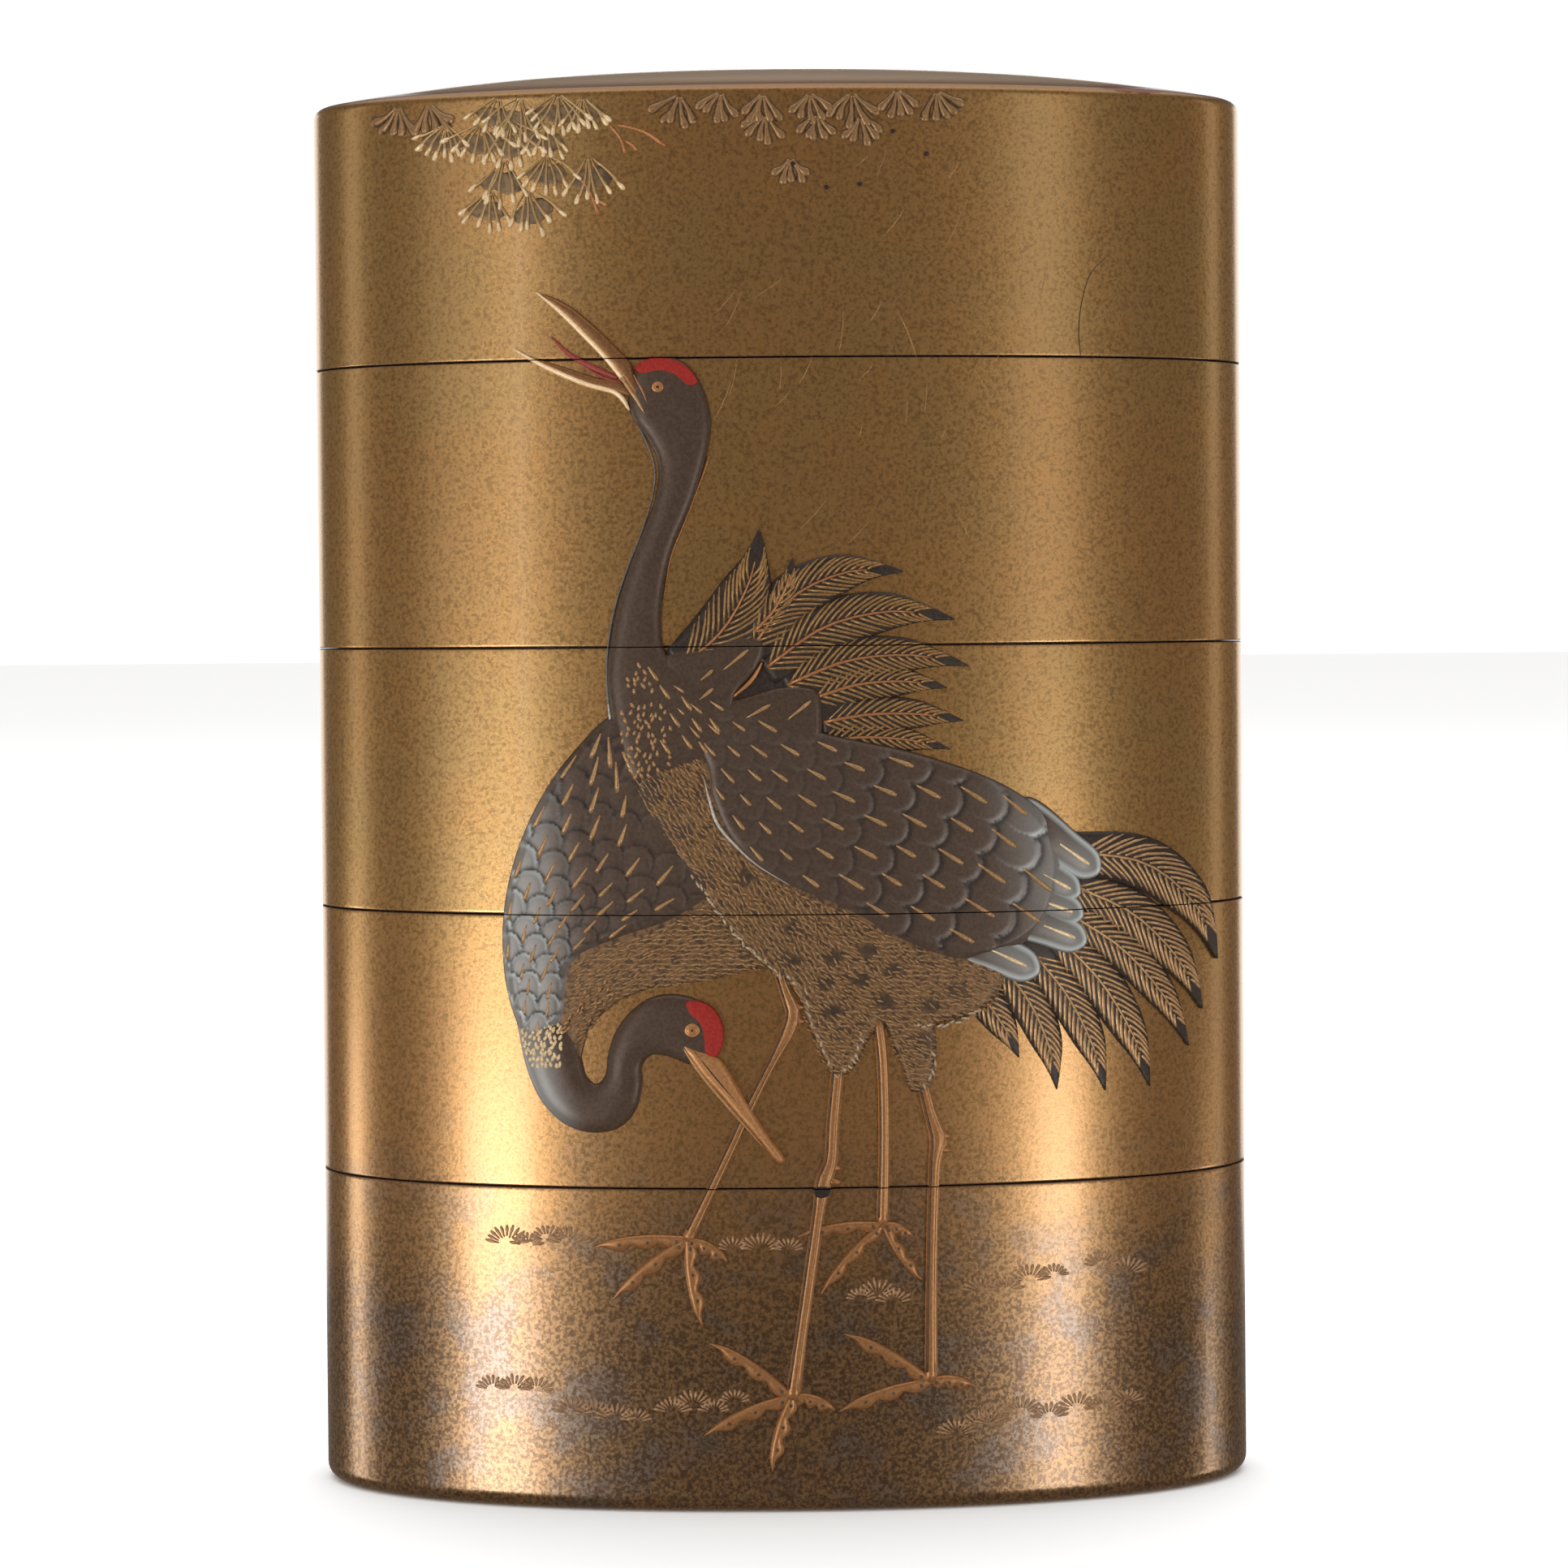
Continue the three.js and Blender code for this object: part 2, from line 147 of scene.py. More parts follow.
def oval(x, z, half_width, half_height, count):
    """Points round a small oval."""
    return [[x + half_width * math.cos(a), z + half_height * math.sin(a)]
            for a in np.linspace(0, 2 * math.pi, count, endpoint=False)]


def smooth_step(low, high, value):
    t = np.clip((value - low) / (high - low), 0, 1)
    return t * t * (3 - 2 * t)


# ---- Closed solids: (points as x, z, h), faces, finish, tint -------------------------------------
# tint holds two columns from 0 to 1: how pale a point is, and how dark. Feathers and bellies use it.
# On feathers the pale is painted highlight and painted reflection, with some of the free edges' own
# paleness, and the dark is painted shade; on the near belly the dark marks its dark spots.

FOOT = -0.1                     # how far below the wall's surface a relief solid starts
drawn = {"front": [], "back": []}


def keep(points, faces, finish, tint=None, side="front"):
    tint = np.zeros((len(points), 2)) if tint is None else tint
    drawn[side].append((points, faces, finish, tint))


def strip(grid, finish, foot=FOOT, side="front"):
    """Closed solid under a grid of points, rows along and columns across, down to the height foot."""
    rows, columns = grid.shape[:2]
    under = grid[:, [0, -1]].reshape(-1, 3).copy()
    under[:, 2] = foot
    base = rows * columns
    faces = []
    for i in range(rows - 1):
        here, there = i * columns, (i + 1) * columns
        left, right = base + 2 * i, base + 2 * i + 1
        for j in range(columns - 1):
            faces.append((here + j, here + j + 1, there + j + 1, there + j))
        faces.append((left, here, there, left + 2))
        faces.append((here + columns - 1, right, right + 2, there + columns - 1))
        faces.append((right, left, left + 2, right + 2))
    last = base - columns
    faces.append((*range(columns - 1, -1, -1), base, base + 1))
    faces.append((*range(last, base), base + 2 * rows - 1, base + 2 * rows - 2))
    keep(np.vstack([grid.reshape(-1, 3), under]), faces, finish, side=side)


def stroke(path, widths, height, finish, base=0.0, side="front"):
    """A small ridge of lacquer along a path; base is the height that it stands on."""
    across = sideways(path) * np.asarray(widths)[:, None] / 2
    base = np.broadcast_to(base, len(path))
    swell = height * np.sqrt(np.asarray(widths) / np.max(widths))
    grid = np.empty((len(path), 3, 3))
    for column, (offset, lift) in enumerate(((1, 0.15), (0, 1), (-1, 0.15))):
        grid[:, column, :2] = path + offset * across
        grid[:, column, 2] = base + lift * swell
    strip(grid, finish, base.min() - 0.08, side=side)


def ribbon(rows, finish, height, base=0.0, steps=6, columns=7, power=2.0, round_ends=(False, False),
           sides=None, side="front"):
    """A rounded band along a smooth spine whose rows are [x, z, width].

    sides gives the two half widths as shares of the width, for a band that swells on one side.
    """
    fine = spline(rows, 16)
    length = lengths(fine)[-1]
    steps_all = steps * (len(rows) - 1)
    marks = [np.linspace(0, length, steps_all + 1)]
    radii = (fine[0, 2] / 2, fine[-1, 2] / 2)
    bends = 1 - np.cos(np.linspace(0, math.pi / 2, 5))
    if round_ends[0]:
        marks.append(radii[0] * bends)
    if round_ends[1]:
        marks.append(length - radii[1] * bends)
    at = np.unique(np.round(np.concatenate(marks), 4))
    path = at_lengths(fine, at)
    narrow = np.ones(len(at))
    if round_ends[0]:
        narrow *= np.sqrt(1 - np.clip(1 - (at + 0.004) / radii[0], 0, 1) ** 2)
    if round_ends[1]:
        narrow *= np.sqrt(1 - np.clip(1 - (length - at + 0.004) / radii[1], 0, 1) ** 2)
    width = path[:, 2] * narrow
    u = np.sin(np.linspace(-math.pi / 2, math.pi / 2, columns))
    profile = (1 - np.abs(u) ** power) ** (1 / power)
    left, right = (np.full(len(at), 0.5),) * 2 if sides is None else sides(at / length)
    reach = np.where(u[None] > 0, left[:, None], right[:, None]) * u[None] * width[:, None]
    across = sideways(path)
    grid = np.empty((len(at), columns, 3))
    grid[..., :2] = path[:, None, :2] + across[:, None] * reach[..., None]
    under = base(grid[..., :2].reshape(-1, 2)).reshape(grid.shape[:2]) if callable(base) else base
    swell = height * np.sqrt(width / path[:, 2].max())
    grid[..., 2] = under + swell[:, None] * profile
    strip(grid[:, ::-1], finish, side=side)
    return path


class Mound:
    """A raised area inside a smooth closed outline, with a rounded rim and a slight crown."""

    def __init__(self, corners, height, rim, base=0.0, crown=0.0, pitch=0.3, fade=None, marks=None):
        """fade lowers the top at points; marks gives their pale and dark tints."""
        dense = spline(corners, 24, closed=True)
        dense = np.vstack([dense, dense[:1]])
        length = lengths(dense)[-1]
        count = max(int(length / pitch), 12)
        self.outline = at_lengths(dense, np.arange(count) * length / count)
        self.height, self.rim, self.base, self.crown = height, rim, base, crown
        self.fade, self.marks = fade, marks

    def depth(self, points):
        """Distance inside the outline, negative outside."""
        points = np.atleast_2d(points)[:, None]
        a = self.outline[None]
        b = np.roll(self.outline, -1, axis=0)[None]
        along = np.clip(((points - a) * (b - a)).sum(-1) / ((b - a) ** 2).sum(-1), 0, 1)
        distance = np.linalg.norm(points - a - along[..., None] * (b - a), axis=-1).min(1)
        above = (a[..., 1] > points[..., 1]) != (b[..., 1] > points[..., 1])
        drop = np.where(above, b[..., 1] - a[..., 1], 1)
        crossing = a[..., 0] + (points[..., 1] - a[..., 1]) / drop * (b[..., 0] - a[..., 0])
        inside = (above & (points[..., 0] < crossing)).sum(1) % 2 == 1
        return np.where(inside, distance, -distance)

    def top(self, points):
        """Height of the surface at points, or very low outside."""
        depth = self.depth(points)
        near = 1 - np.clip(depth / self.rim, 0, 1)
        rise = self.height * np.sqrt(1 - near**2)
        rise += self.crown * (1 - np.exp(-np.maximum(depth, 0) / (4 * self.rim)))
        if self.fade:
            rise = rise * self.fade(np.atleast_2d(points))
        return np.where(depth >= 0, self.base + rise, -9.0)

    def tint(self, points):
        return self.marks(points) if self.marks else np.zeros((len(points), 2))

    def filled(self, loose, spacing, margin):
        """The outline filled with loose points and an even pattern, as flat points and triangles."""
        low, high = self.outline.min(0), self.outline.max(0)
        x, z = np.meshgrid(np.arange(low[0], high[0], spacing), np.arange(low[1], high[1], spacing * 0.87))
        x[1::2] += spacing / 2
        middle = np.column_stack([x.ravel(), z.ravel()])
        flat = np.vstack([self.outline, *loose, middle[self.depth(middle) > margin]])
        found = delaunay_2d_cdt([Vector(p) for p in flat], [], [list(range(len(self.outline)))], 1, 1e-5)
        return np.array([tuple(p) for p in found[0]]), [tuple(face) for face in found[2]]

    def draw(self, finish, side="front", inner=0.75):
        """Adds the solid: a fine upper surface, a coarse underside and the edge between them."""
        count = len(self.outline)
        inward = sideways(np.vstack([self.outline[-1:], self.outline, self.outline[:1]]))[1:-1]
        if self.depth(self.outline[:1] + 0.02 * inward[:1])[0] < 0:
            inward = -inward
        loose = []
        for share in (0.07, 0.25, 0.55, 1.0):
            ring = self.outline + share * self.rim * inward
            loose.append(ring[self.depth(ring) > 0.93 * share * self.rim])
        points, triangles = self.filled(loose, inner, self.rim + 0.4 * inner)
        under, under_triangles = self.filled([], 2.0, 1.0)
        upper = np.column_stack([points, np.maximum(self.top(points), self.base)])
        lower = np.column_stack([under, np.full(len(under), FOOT)])
        total = len(points)
        faces = triangles + [tuple(total + i for i in reversed(face)) for face in under_triangles]
        faces += [((i + 1) % count, i, i + total, (i + 1) % count + total) for i in range(count)]
        tint = np.vstack([self.tint(points), np.zeros((len(under), 2))])
        keep(np.vstack([upper, lower]), faces, finish, tint, side)


# ---- Feathers ------------------------------------------------------------------------------------


def feather_rows(near_edge, far_edge, spacing, pitch, reach, spread, turn=0):
    """Staggered rows of feathers over the area between two edges, as root, direction, length, width.

    spacing is the distance from row to row along the flow, and pitch the distance across it, each
    as (first row, last row). reach and spread give a feather's length and width as shares of them,
    and turn the degrees between a feather and the flow.
    """
    one, two = (at_lengths(fine, np.linspace(0, lengths(fine)[-1], 60))
                for fine in (spline(near_edge, 12), spline(far_edge, 12)))
    total = lengths((one + two) / 2)[-1]

    def at(path, index):
        return np.array([np.interp(index, range(60), path[:, k]) for k in (0, 1)])

    found = []
    distance, row = 0.0, 0
    while distance < total:
        share = distance / total
        step = spacing[0] + (spacing[1] - spacing[0]) * share
        across = pitch[0] + (pitch[1] - pitch[0]) * share
        index = share * 59
        a, b = at(one, index), at(two, index)
        count = max(round(np.linalg.norm(b - a) / across), 1)
        ahead = min(index + 2, 59)
        for k in range(count + row % 2):
            v = (k + (0.5 if row % 2 == 0 else 0.0)) / count
            flow = sum(w * (at(edge, ahead) - at(edge, ahead - 4)) for edge, w in ((one, 1 - v), (two, v)))
            angle = math.atan2(flow[1], flow[0]) + math.radians(turn)
            size = RNG.uniform(0.95, 1.05)
            found.append((*(a + v * (b - a) + RNG.normal(0, 0.05, 2)), math.cos(angle), math.sin(angle),
                          reach * step * size, spread * across * size))
        distance += step
        row += 1
    return np.array(found)


class Plumage(Mound):
    """A raised area whose surface is overlapping feathers. Each rises to its rounded free end."""

    def feathers(self, rows, rise, drop, edge, clear, silver, painted_rim_light=0.0):
        """rows comes from feather_rows; clear and silver say how marked they are and how much painted reflection
        pales them at points.

        painted_rim_light is how bright the painted highlight round the rim of the whole area is.
        """
        self.rows, self.rise, self.drop, self.edge = rows, rise, drop, edge
        self.clear, self.silver, self.painted_rim_light = clear, silver, painted_rim_light

    def overlap(self, points):
        """Height over the mound at points, with the pale tint of the free edges, partly their own paleness and
        partly painted highlight, and the dark tint, painted shade under higher feathers.
        """
        root, way, length, width = self.rows[:, :2], self.rows[:, 2:4], self.rows[:, 4], self.rows[:, 5]
        rel = points[:, None] - root[None]
        along = (rel * way).sum(-1)
        aside = rel[..., 1] * way[:, 0] - rel[..., 0] * way[:, 1]
        blunt = 0.6 * width
        straight = length - blunt
        round_part = np.clip((along - straight) / blunt, 0, None)
        out = np.hypot(round_part, aside / (width / 2))
        inside = (1 - out) * width / 2
        size = width / 2.2
        edge = self.edge * size
        lift = self.rise * size * np.clip(along / length, 0, 1) + 0.035 * size * (1 - np.clip(out, 0, 1) ** 2)
        fall = self.drop * size * (1 - np.sqrt(1 - (1 - np.clip(inside / edge, 0, 1)) ** 2))
        covers = (inside > 0) & (along > 0)
        height = np.where(covers, lift - fall, -1.0)
        best = height.argmax(1)
        pick = (np.arange(len(points)), best)
        top = np.maximum(height[pick], 0)
        free = smooth_step(0.4, 0.75, along / length)
        # Painted highlight: a free edge is paler on its lower side, where light catches it.
        lower = 0.45 + 0.55 * smooth_step(0.5, -0.6, aside / (width / 2))
        pale = (smooth_step(0.34, 0.1, inside / size) * free * lower)[pick] * (height[pick] > 0)
        # Painted shade: dark just outside the edge of a feather that lies higher.
        outside = np.where((inside <= 0) & (along > 0.3 * length), -inside / size, 9)
        dark = np.exp(-((outside / 0.2) ** 2)) * free * (lift > top[:, None])
        return top, pale, dark.max(1)

    def parts(self, points):
        return [self.overlap(chunk) for chunk in np.array_split(points, max(len(points) // 2000, 1))]

    def top(self, points):
        points = np.atleast_2d(points)
        extra = np.concatenate([part[0] for part in self.parts(points)])
        fade = smooth_step(0.05, 0.7, self.depth(points))
        return super().top(points) + extra * fade * self.clear(points)

    def tint(self, points):
        pale = np.concatenate([part[1] for part in self.parts(points)])
        dark = np.concatenate([part[2] for part in self.parts(points)])
        silver, clear, depth = self.silver(points), self.clear(points), self.depth(points)
        # The dark column is painted shade under higher feathers, and darker along the area's outer edge; the pale
        # column is painted highlight, with painted reflection over the wing tips and the far wing's left.
        rim = smooth_step(0.14, 0.02, depth)
        shade = np.maximum(dark * clear * smooth_step(0.1, 0.6, depth), 0.6 * rim)
        painted_rim_light = self.painted_rim_light * smooth_step(0.06, 0.14, depth) * smooth_step(0.55, 0.2, depth)
        light = np.clip((0.07 + 0.7 * silver) * pale * clear + 0.3 * silver + painted_rim_light, 0, 1)
        return np.column_stack([light, shade])

    def shafts(self, start, end, thickness, hidden=None, knob=1):
        """A gold stroke on each feather, thick at its free end, or at its root where knob is -1."""
        for x, z, way_x, way_z, length, width in self.rows:
            share = np.linspace(start + RNG.uniform(-0.04, 0.04), end + RNG.uniform(-0.04, 0.04), 6)
            path = np.array([x, z]) + share[:, None] * length * np.array([way_x, way_z])
            if self.depth(path).min() < 0.25 or (hidden is not None and hidden(path[-1])):
                continue
            widths = thickness * min(width / 2, 1.15) * np.array([0.35, 0.5, 0.68, 0.88, 1, 0.7])[::knob]
            stroke(path, widths, 0.07, "gold_line", base=self.top(path) - 0.005)


def tip_feather(root, tip, width, low, height, silver=1.1):
    """A long feather end with a rounded crest, standing clear of the wing's edge."""
    root, tip = np.array(root, float), np.array(tip, float)
    way = (tip - root) / np.linalg.norm(tip - root)
    side = np.array([-way[1], way[0]]) * width / 2
    corners = [root + side, root + 0.6 * (tip - root) + 1.02 * side,
               tip - 0.3 * width * way + 0.8 * side, tip, tip - 0.3 * width * way - 0.8 * side,
               root + 0.6 * (tip - root) - 1.02 * side, root - side]
    feather = Plumage(corners, height, 0.42 * width, base=low, fade=lambda p: smooth_step(
        0.0, 0.45, (np.atleast_2d(p) - root) @ way / np.linalg.norm(tip - root)))
    # Painted reflection pales the feather towards its tip, and a painted highlight runs round its rim.
    feather.feathers(
        np.array([[*(root - 3 * way), *way, 0.1, 0.1]]), 0, 0, 1, lambda p: np.ones(len(p)),
        lambda p: silver * smooth_step(0.1, 1.0, (p - root) @ way / np.linalg.norm(tip - root)), 0.75)
    feather.draw("feather", inner=0.2)
    path = root + np.linspace(0.5, 0.84, 6)[:, None] * (tip - root)
    stroke(path, 0.24 * np.array([0.4, 0.55, 0.72, 0.9, 1, 0.7]), 0.07, "bead", base=feather.top(path))


def plume_rows(root, tip, bow, width):
    """Spine of a long feather that bows sideways and narrows to a point, as in the solids."""
    root, tip = np.array(root, float), np.array(tip, float)
    away = tip - root
    length = np.linalg.norm(away)
    normal = np.array([-away[1], away[0]]) / length
    return [[*(root + t * away + 4 * t * (1 - t) * bow * normal), width * share]
            for t, share in ((0, 0.75), (0.35, 1), (0.66, 0.8), (0.86, 0.34), (1, 0.02))]


BARB_GAP = 0.31                 # from barb to barb, square to the barbs
BARB_WIDTH = 0.175
BARB_LEAN = 36                  # degrees between the barbs and the shaft


def plume(root, tip, bow, width, level, shaft_finish, barb_finish):
    """A long feather: dark blade, shaft and gold barbs on both sides, with a bare dark tip."""
    rows = plume_rows(root, tip, bow, width)
    ribbon(rows, "blade", 0.05, base=level, steps=6, columns=5)
    fine = spline(rows, 16)
    total = lengths(fine)[-1]
    across = np.column_stack([fine[:, :2], fine[:, 2:], sideways(fine)])
    shaft = at_lengths(fine, np.linspace(0.02, 0.8, 9) * total)
    stroke(shaft[:, :2], np.linspace(0.2, 0.1, 9), 0.06, shaft_finish, base=level + 0.045)
    share = np.array([0.08, 0.38, 0.7, 0.93])
    spacing = BARB_GAP / math.sin(math.radians(BARB_LEAN))
    for side in (1, -1):
        for start in np.arange(0.1 + 0.5 * spacing * (side > 0), 0.9 * total, spacing):
            lean = 0.5 * np.interp(start, lengths(fine), fine[:, 2]) / math.tan(math.radians(BARB_LEAN))
            run = start + lean * (share + 0.2 * share**2)
            if run[-1] > 0.9 * total:
                continue
            at = at_lengths(across, run)
            reach = share * at[:, 2] / 2 * RNG.uniform(0.9, 1.02)
            path = at[:, :2] + side * reach[:, None] * at[:, 3:5]
            widths = BARB_WIDTH * np.array([0.8, 1, 0.95, 0.4])
            stroke(path, widths, 0.075, barb_finish, base=level + 0.04)


# ---- The near crane: upright and calling, wing half closed over a fan of tail feathers -----------

NEAR_BODY = Mound([
    [-8.5, 46.4], [-9.2, 45.4], [-9, 43.9], [-7.9, 41.7], [-5.6, 38.6], [-4.1, 36.4], [-1.9, 33.7],
    [0.6, 31.8], [5, 29.6], [8.8, 29.4], [11.7, 30], [13, 31.2], [13.4, 33], [12, 35.6], [4, 40], [-2, 43.6],
    [-5.6, 46.4],
], 0.36, 0.5, crown=0.05)
NEAR_NECK = Mound([
    [-8.7, 68.7], [-7.9, 69.4], [-6.8, 69.6], [-5.7, 69.3], [-4.9, 68.5], [-4.3, 67.2], [-4, 65.7], [-4.25, 63.8],
    [-4.7, 62.2], [-5.25, 60.6], [-6.3, 58.2], [-6.9, 55.8], [-7.1, 53.6], [-6.9, 52], [-5.9, 50.9],
    [-4.4, 49.8], [-3.1, 48.6], [-2.8, 47], [-4.2, 45.5], [-6.6, 44.5], [-8.9, 43.9], [-9.8, 46], [-10.3, 48.8],
    [-10.45, 50.6], [-10.3, 52], [-9.8, 54.6], [-8.9, 57.4], [-8, 59.6], [-7.4, 61.3], [-7.25, 63.2],
    [-7.9, 64.7], [-8.7, 65.8], [-9, 67.2],
], 0.46, 1.0, base=0.05, pitch=0.22)
NEAR_WING = Plumage([
    [-6.9, 50.4], [-3, 48.8], [2.5, 47], [8.5, 45.6], [13.6, 43.6], [15.9, 41.8], [16.8, 39.6], [16.7, 37.2],
    [15.8, 35.2], [14, 33.8], [10.8, 33.1], [7.4, 34.2], [3.8, 36.2], [-0.4, 38.1], [-3, 40.4], [-4.3, 43.2],
    [-4.6, 45.2], [-6.2, 47.6],
], 0.34, 0.6, base=0.12, crown=0.04)
THIGHS = [
    Mound([[-0.6, 33.4], [0.9, 31], [1.5, 29.2], [2.3, 27.5], [3, 26.3], [4, 26.6], [5.1, 28.4],
           [6.2, 30.6], [5, 33]], 0.36, 0.5, crown=0.05),
    Mound([[4.4, 31.8], [5.9, 29.6], [6.9, 27.3], [7.7, 25.3], [8.7, 25.4], [9.2, 27.5], [9.3, 29.6],
           [11.6, 30.3], [9, 32.6]], 0.34, 0.5, crown=0.05),
]
WING_TOP_EDGE = [[-7.2, 51], [-3.4, 49.4], [1.5, 47.7], [6.7, 46.6], [11.4, 44.6], [14.6, 42.4]]
WING_LOW_EDGE = [[-6.2, 45.2], [-4.9, 42], [-2, 38.8], [2.4, 36.2], [6.4, 34.4], [10, 33.2]]
WING_TIPS = [
    ([14, 42], [19.2, 38.2], 2.4), ([13.2, 39.7], [18, 36.9], 2.3), ([12.8, 37.8], [18.2, 35.6], 2.2),
    ([12.8, 36.4], [18.4, 34], 2.3), ([9.4, 35.3], [15.5, 32.3], 2.4),
]


def wing_ground():
    """Dark lacquer that shows between the wing, its lobes and the feathers round it."""
    for corners in ([[-3.4, 50.6], [-1.2, 53], [1.6, 53.2], [3.6, 51.5], [4.4, 48.6], [2, 47.4], [-2.4, 48]],
                    [[11, 33.4], [13.2, 34.6], [15.6, 34.4], [17, 33.4], [15.4, 32.6], [12.6, 32.6]]):
        Mound(corners, 0.14, 0.3).draw("blade")


def near_wing():
    # Painted reflection: the wing pales towards its tips.
    def silver(points):
        x, z = points[:, 0], points[:, 1]
        return 0.97 * smooth_step(11.5, 18, x + 0.2 * (z - 40)) + 0.03

    def clear(points):
        return 0.3 + 0.7 * smooth_step(0, 9, points[:, 0])

    wing_ground()
    for order, (root, tip, width) in enumerate(reversed(WING_TIPS)):
        tip_feather(root, tip, width, 0.1 + 0.01 * order, 0.48)
    rows = feather_rows(WING_TOP_EDGE, WING_LOW_EDGE, (1.12, 2.9), (1.12, 2.3), 2.0, 1.35, turn=-9)
    NEAR_WING.feathers(rows, 0.15, 0.075, 0.26, clear, silver)
    NEAR_WING.draw("feather", inner=0.13)
    NEAR_WING.shafts(0.36, 0.72, 0.25)
    # A painted highlight along the wing's lower left edge.
    ribbon([[-4.6, 44.2, 0.05], [-4.3, 43, 0.16], [-3.85, 41.6, 0.2], [-2.8, 40.3, 0.16], [-1.5, 39.1, 0.1],
            [0.4, 37.9, 0.04]], "pale_line", 0.1, base=0.42, steps=5, columns=5)
    for corners, strokes in (
        ([[-7, 51.6], [-4.6, 52.2], [-2, 52.9], [-0.9, 52.4], [-1.3, 50.9], [-2.6, 49.3], [-3, 47.6],
          [-6, 48.6]], (([-3.4, 50.8], [-1.9, 52]), ([-4.75, 50.2], [-4, 50.8]), ([-5, 48.9], [-4, 49.7]))),
        ([[-3.8, 48.6], [-1.8, 49.3], [0.4, 49.8], [2.2, 49.5], [2.5, 48], [2.2, 46.4], [-1, 46.4],
          [-3.6, 47.4]],
         (([-2.1, 47.9], [-0.6, 48.7]), ([0.4, 47.8], [1.8, 48.9]))),
    ):
        lobe = Mound(corners, 0.4, 0.45)
        lobe.draw("feather")
        for start, end in strokes:
            path = np.linspace(start, end, 5)
            stroke(path, 0.24 * np.array([0.45, 0.6, 0.8, 1, 0.5]), 0.08, "gold_line", base=0.44)
    ribbon([[-1.1, 51.2, 0.12], [-1.7, 50.2, 0.26], [-2.8, 49.2, 0.14]], "copper_line", 0.1, base=0.38, steps=4,
           columns=5)


def neck_and_head():
    NEAR_NECK.draw("feather", inner=0.45)
    # Painted highlight down the neck's left edge: a lighter grey line, then a pale one over the breast.
    ribbon([[-8.9, 66.3, 0.05], [-8, 64.7, 0.12], [-7.4, 62.6, 0.1], [-8.1, 59.5, 0.1], [-9.1, 57, 0.12],
            [-9.95, 54.4, 0.12], [-10.4, 51.6, 0.16], [-10.35, 48.8, 0.22]], "grey_line", 0.16, base=0.04,
           steps=6, columns=5)
    ribbon([[-10.4, 49.6, 0.06], [-10.25, 48, 0.2], [-9.8, 46, 0.32], [-9, 44, 0.3], [-7.9, 41.9, 0.2],
            [-6.6, 40, 0.08]], "pale_line", 0.2, base=0.06, steps=6, columns=5)
    ribbon([[-4.15, 63.6, 0.2], [-4.5, 62.6, 0.12], [-5.6, 59.8, 0.1], [-6.5, 57.6, 0.1], [-6.95, 55, 0.05]],
           "leg", 0.14, base=0.04, steps=5, columns=5)
    Mound([[-8.5, 68.85], [-8, 69.35], [-6.9, 69.5], [-5.8, 69.2], [-5.1, 68.6], [-4.8, 68], [-5.4, 67.75],
           [-6.2, 68.15], [-7.1, 68.55], [-8, 68.5]], 0.1, 0.3, base=0.4, pitch=0.15).draw("red")
    eye([-7.15, 67.75], 0.5)
    # Upper beak: a brown wedge with a bright lower edge that runs on over the cheek
    Mound([[-14.2, 73.5], [-12.6, 72.8], [-11, 71.5], [-9.6, 70.1], [-8.8, 69.2], [-8.5, 68.3], [-7.95, 67.4],
           [-7.8, 66.3], [-8.4, 66.9], [-9.3, 68.3], [-10.3, 69.5], [-11.7, 71], [-13.1, 72.4]], 0.3, 0.25,
          base=0.16, pitch=0.15).draw("wedge", inner=0.4)
    ribbon([[-14.4, 73.55, 0.1], [-13, 72.4, 0.28], [-11.6, 71, 0.32], [-10.2, 69.5, 0.32], [-9.2, 68.2, 0.3]],
           "beak", 0.22, base=0.3, steps=6, columns=7)
    ribbon([[-9.3, 68.35, 0.26], [-8.4, 67, 0.28], [-7.85, 66, 0.1]], "gold_line", 0.2, base=0.36, steps=5,
           columns=5)
    ribbon([[-8.6, 68.5, 0.08], [-8.05, 67.5, 0.16], [-7.7, 66.5, 0.08]], "copper_line", 0.14, base=0.4,
           steps=5, columns=5)
    # Lower beak and tongue
    Mound([[-14.6, 69.6], [-12.7, 69], [-10.8, 68.35], [-9.2, 68], [-8.7, 67.2], [-9.8, 67.5], [-11.4, 67.9],
           [-13.2, 68.7]], 0.2, 0.2, base=0.1, pitch=0.15).draw("wedge", inner=0.4)
    ribbon([[-15.9, 70.25, 0.08], [-14.7, 69.5, 0.24], [-13.1, 68.7, 0.3], [-11.3, 67.95, 0.3], [-9.8, 67.5, 0.3],
            [-9.3, 67.1, 0.32], [-8.9, 66.4, 0.14]], "beak", 0.24, base=0.18, steps=6, columns=7)
    for rows in ([[-13.6, 70.9, 0.06], [-12.6, 69.9, 0.26], [-11.1, 69, 0.34], [-9.6, 68.35, 0.24]],
                 [[-11.6, 69.1, 0.06], [-10.4, 68.35, 0.2], [-9.3, 68.05, 0.16]]):
        ribbon(rows, "tongue", 0.14, base=0.1, steps=5, columns=7)


def eye(centre, radius):
    """A copper disc with a dark ring round it and a small dim pupil."""
    for share, finish, base in ((1.22, "dark_line", 0.43), (1.05, "horn", 0.46), (0.72, "copper_line", 0.49),
                                (0.2, "blade", 0.53)):
        size = share * radius
        Mound(oval(*centre, size, 0.9 * size, 10), 0.05, 0.35 * size, base=base, pitch=0.12).draw(finish, inner=0.3)


# ---- Legs and feet -------------------------------------------------------------------------------

LEG_HEIGHT = 0.3


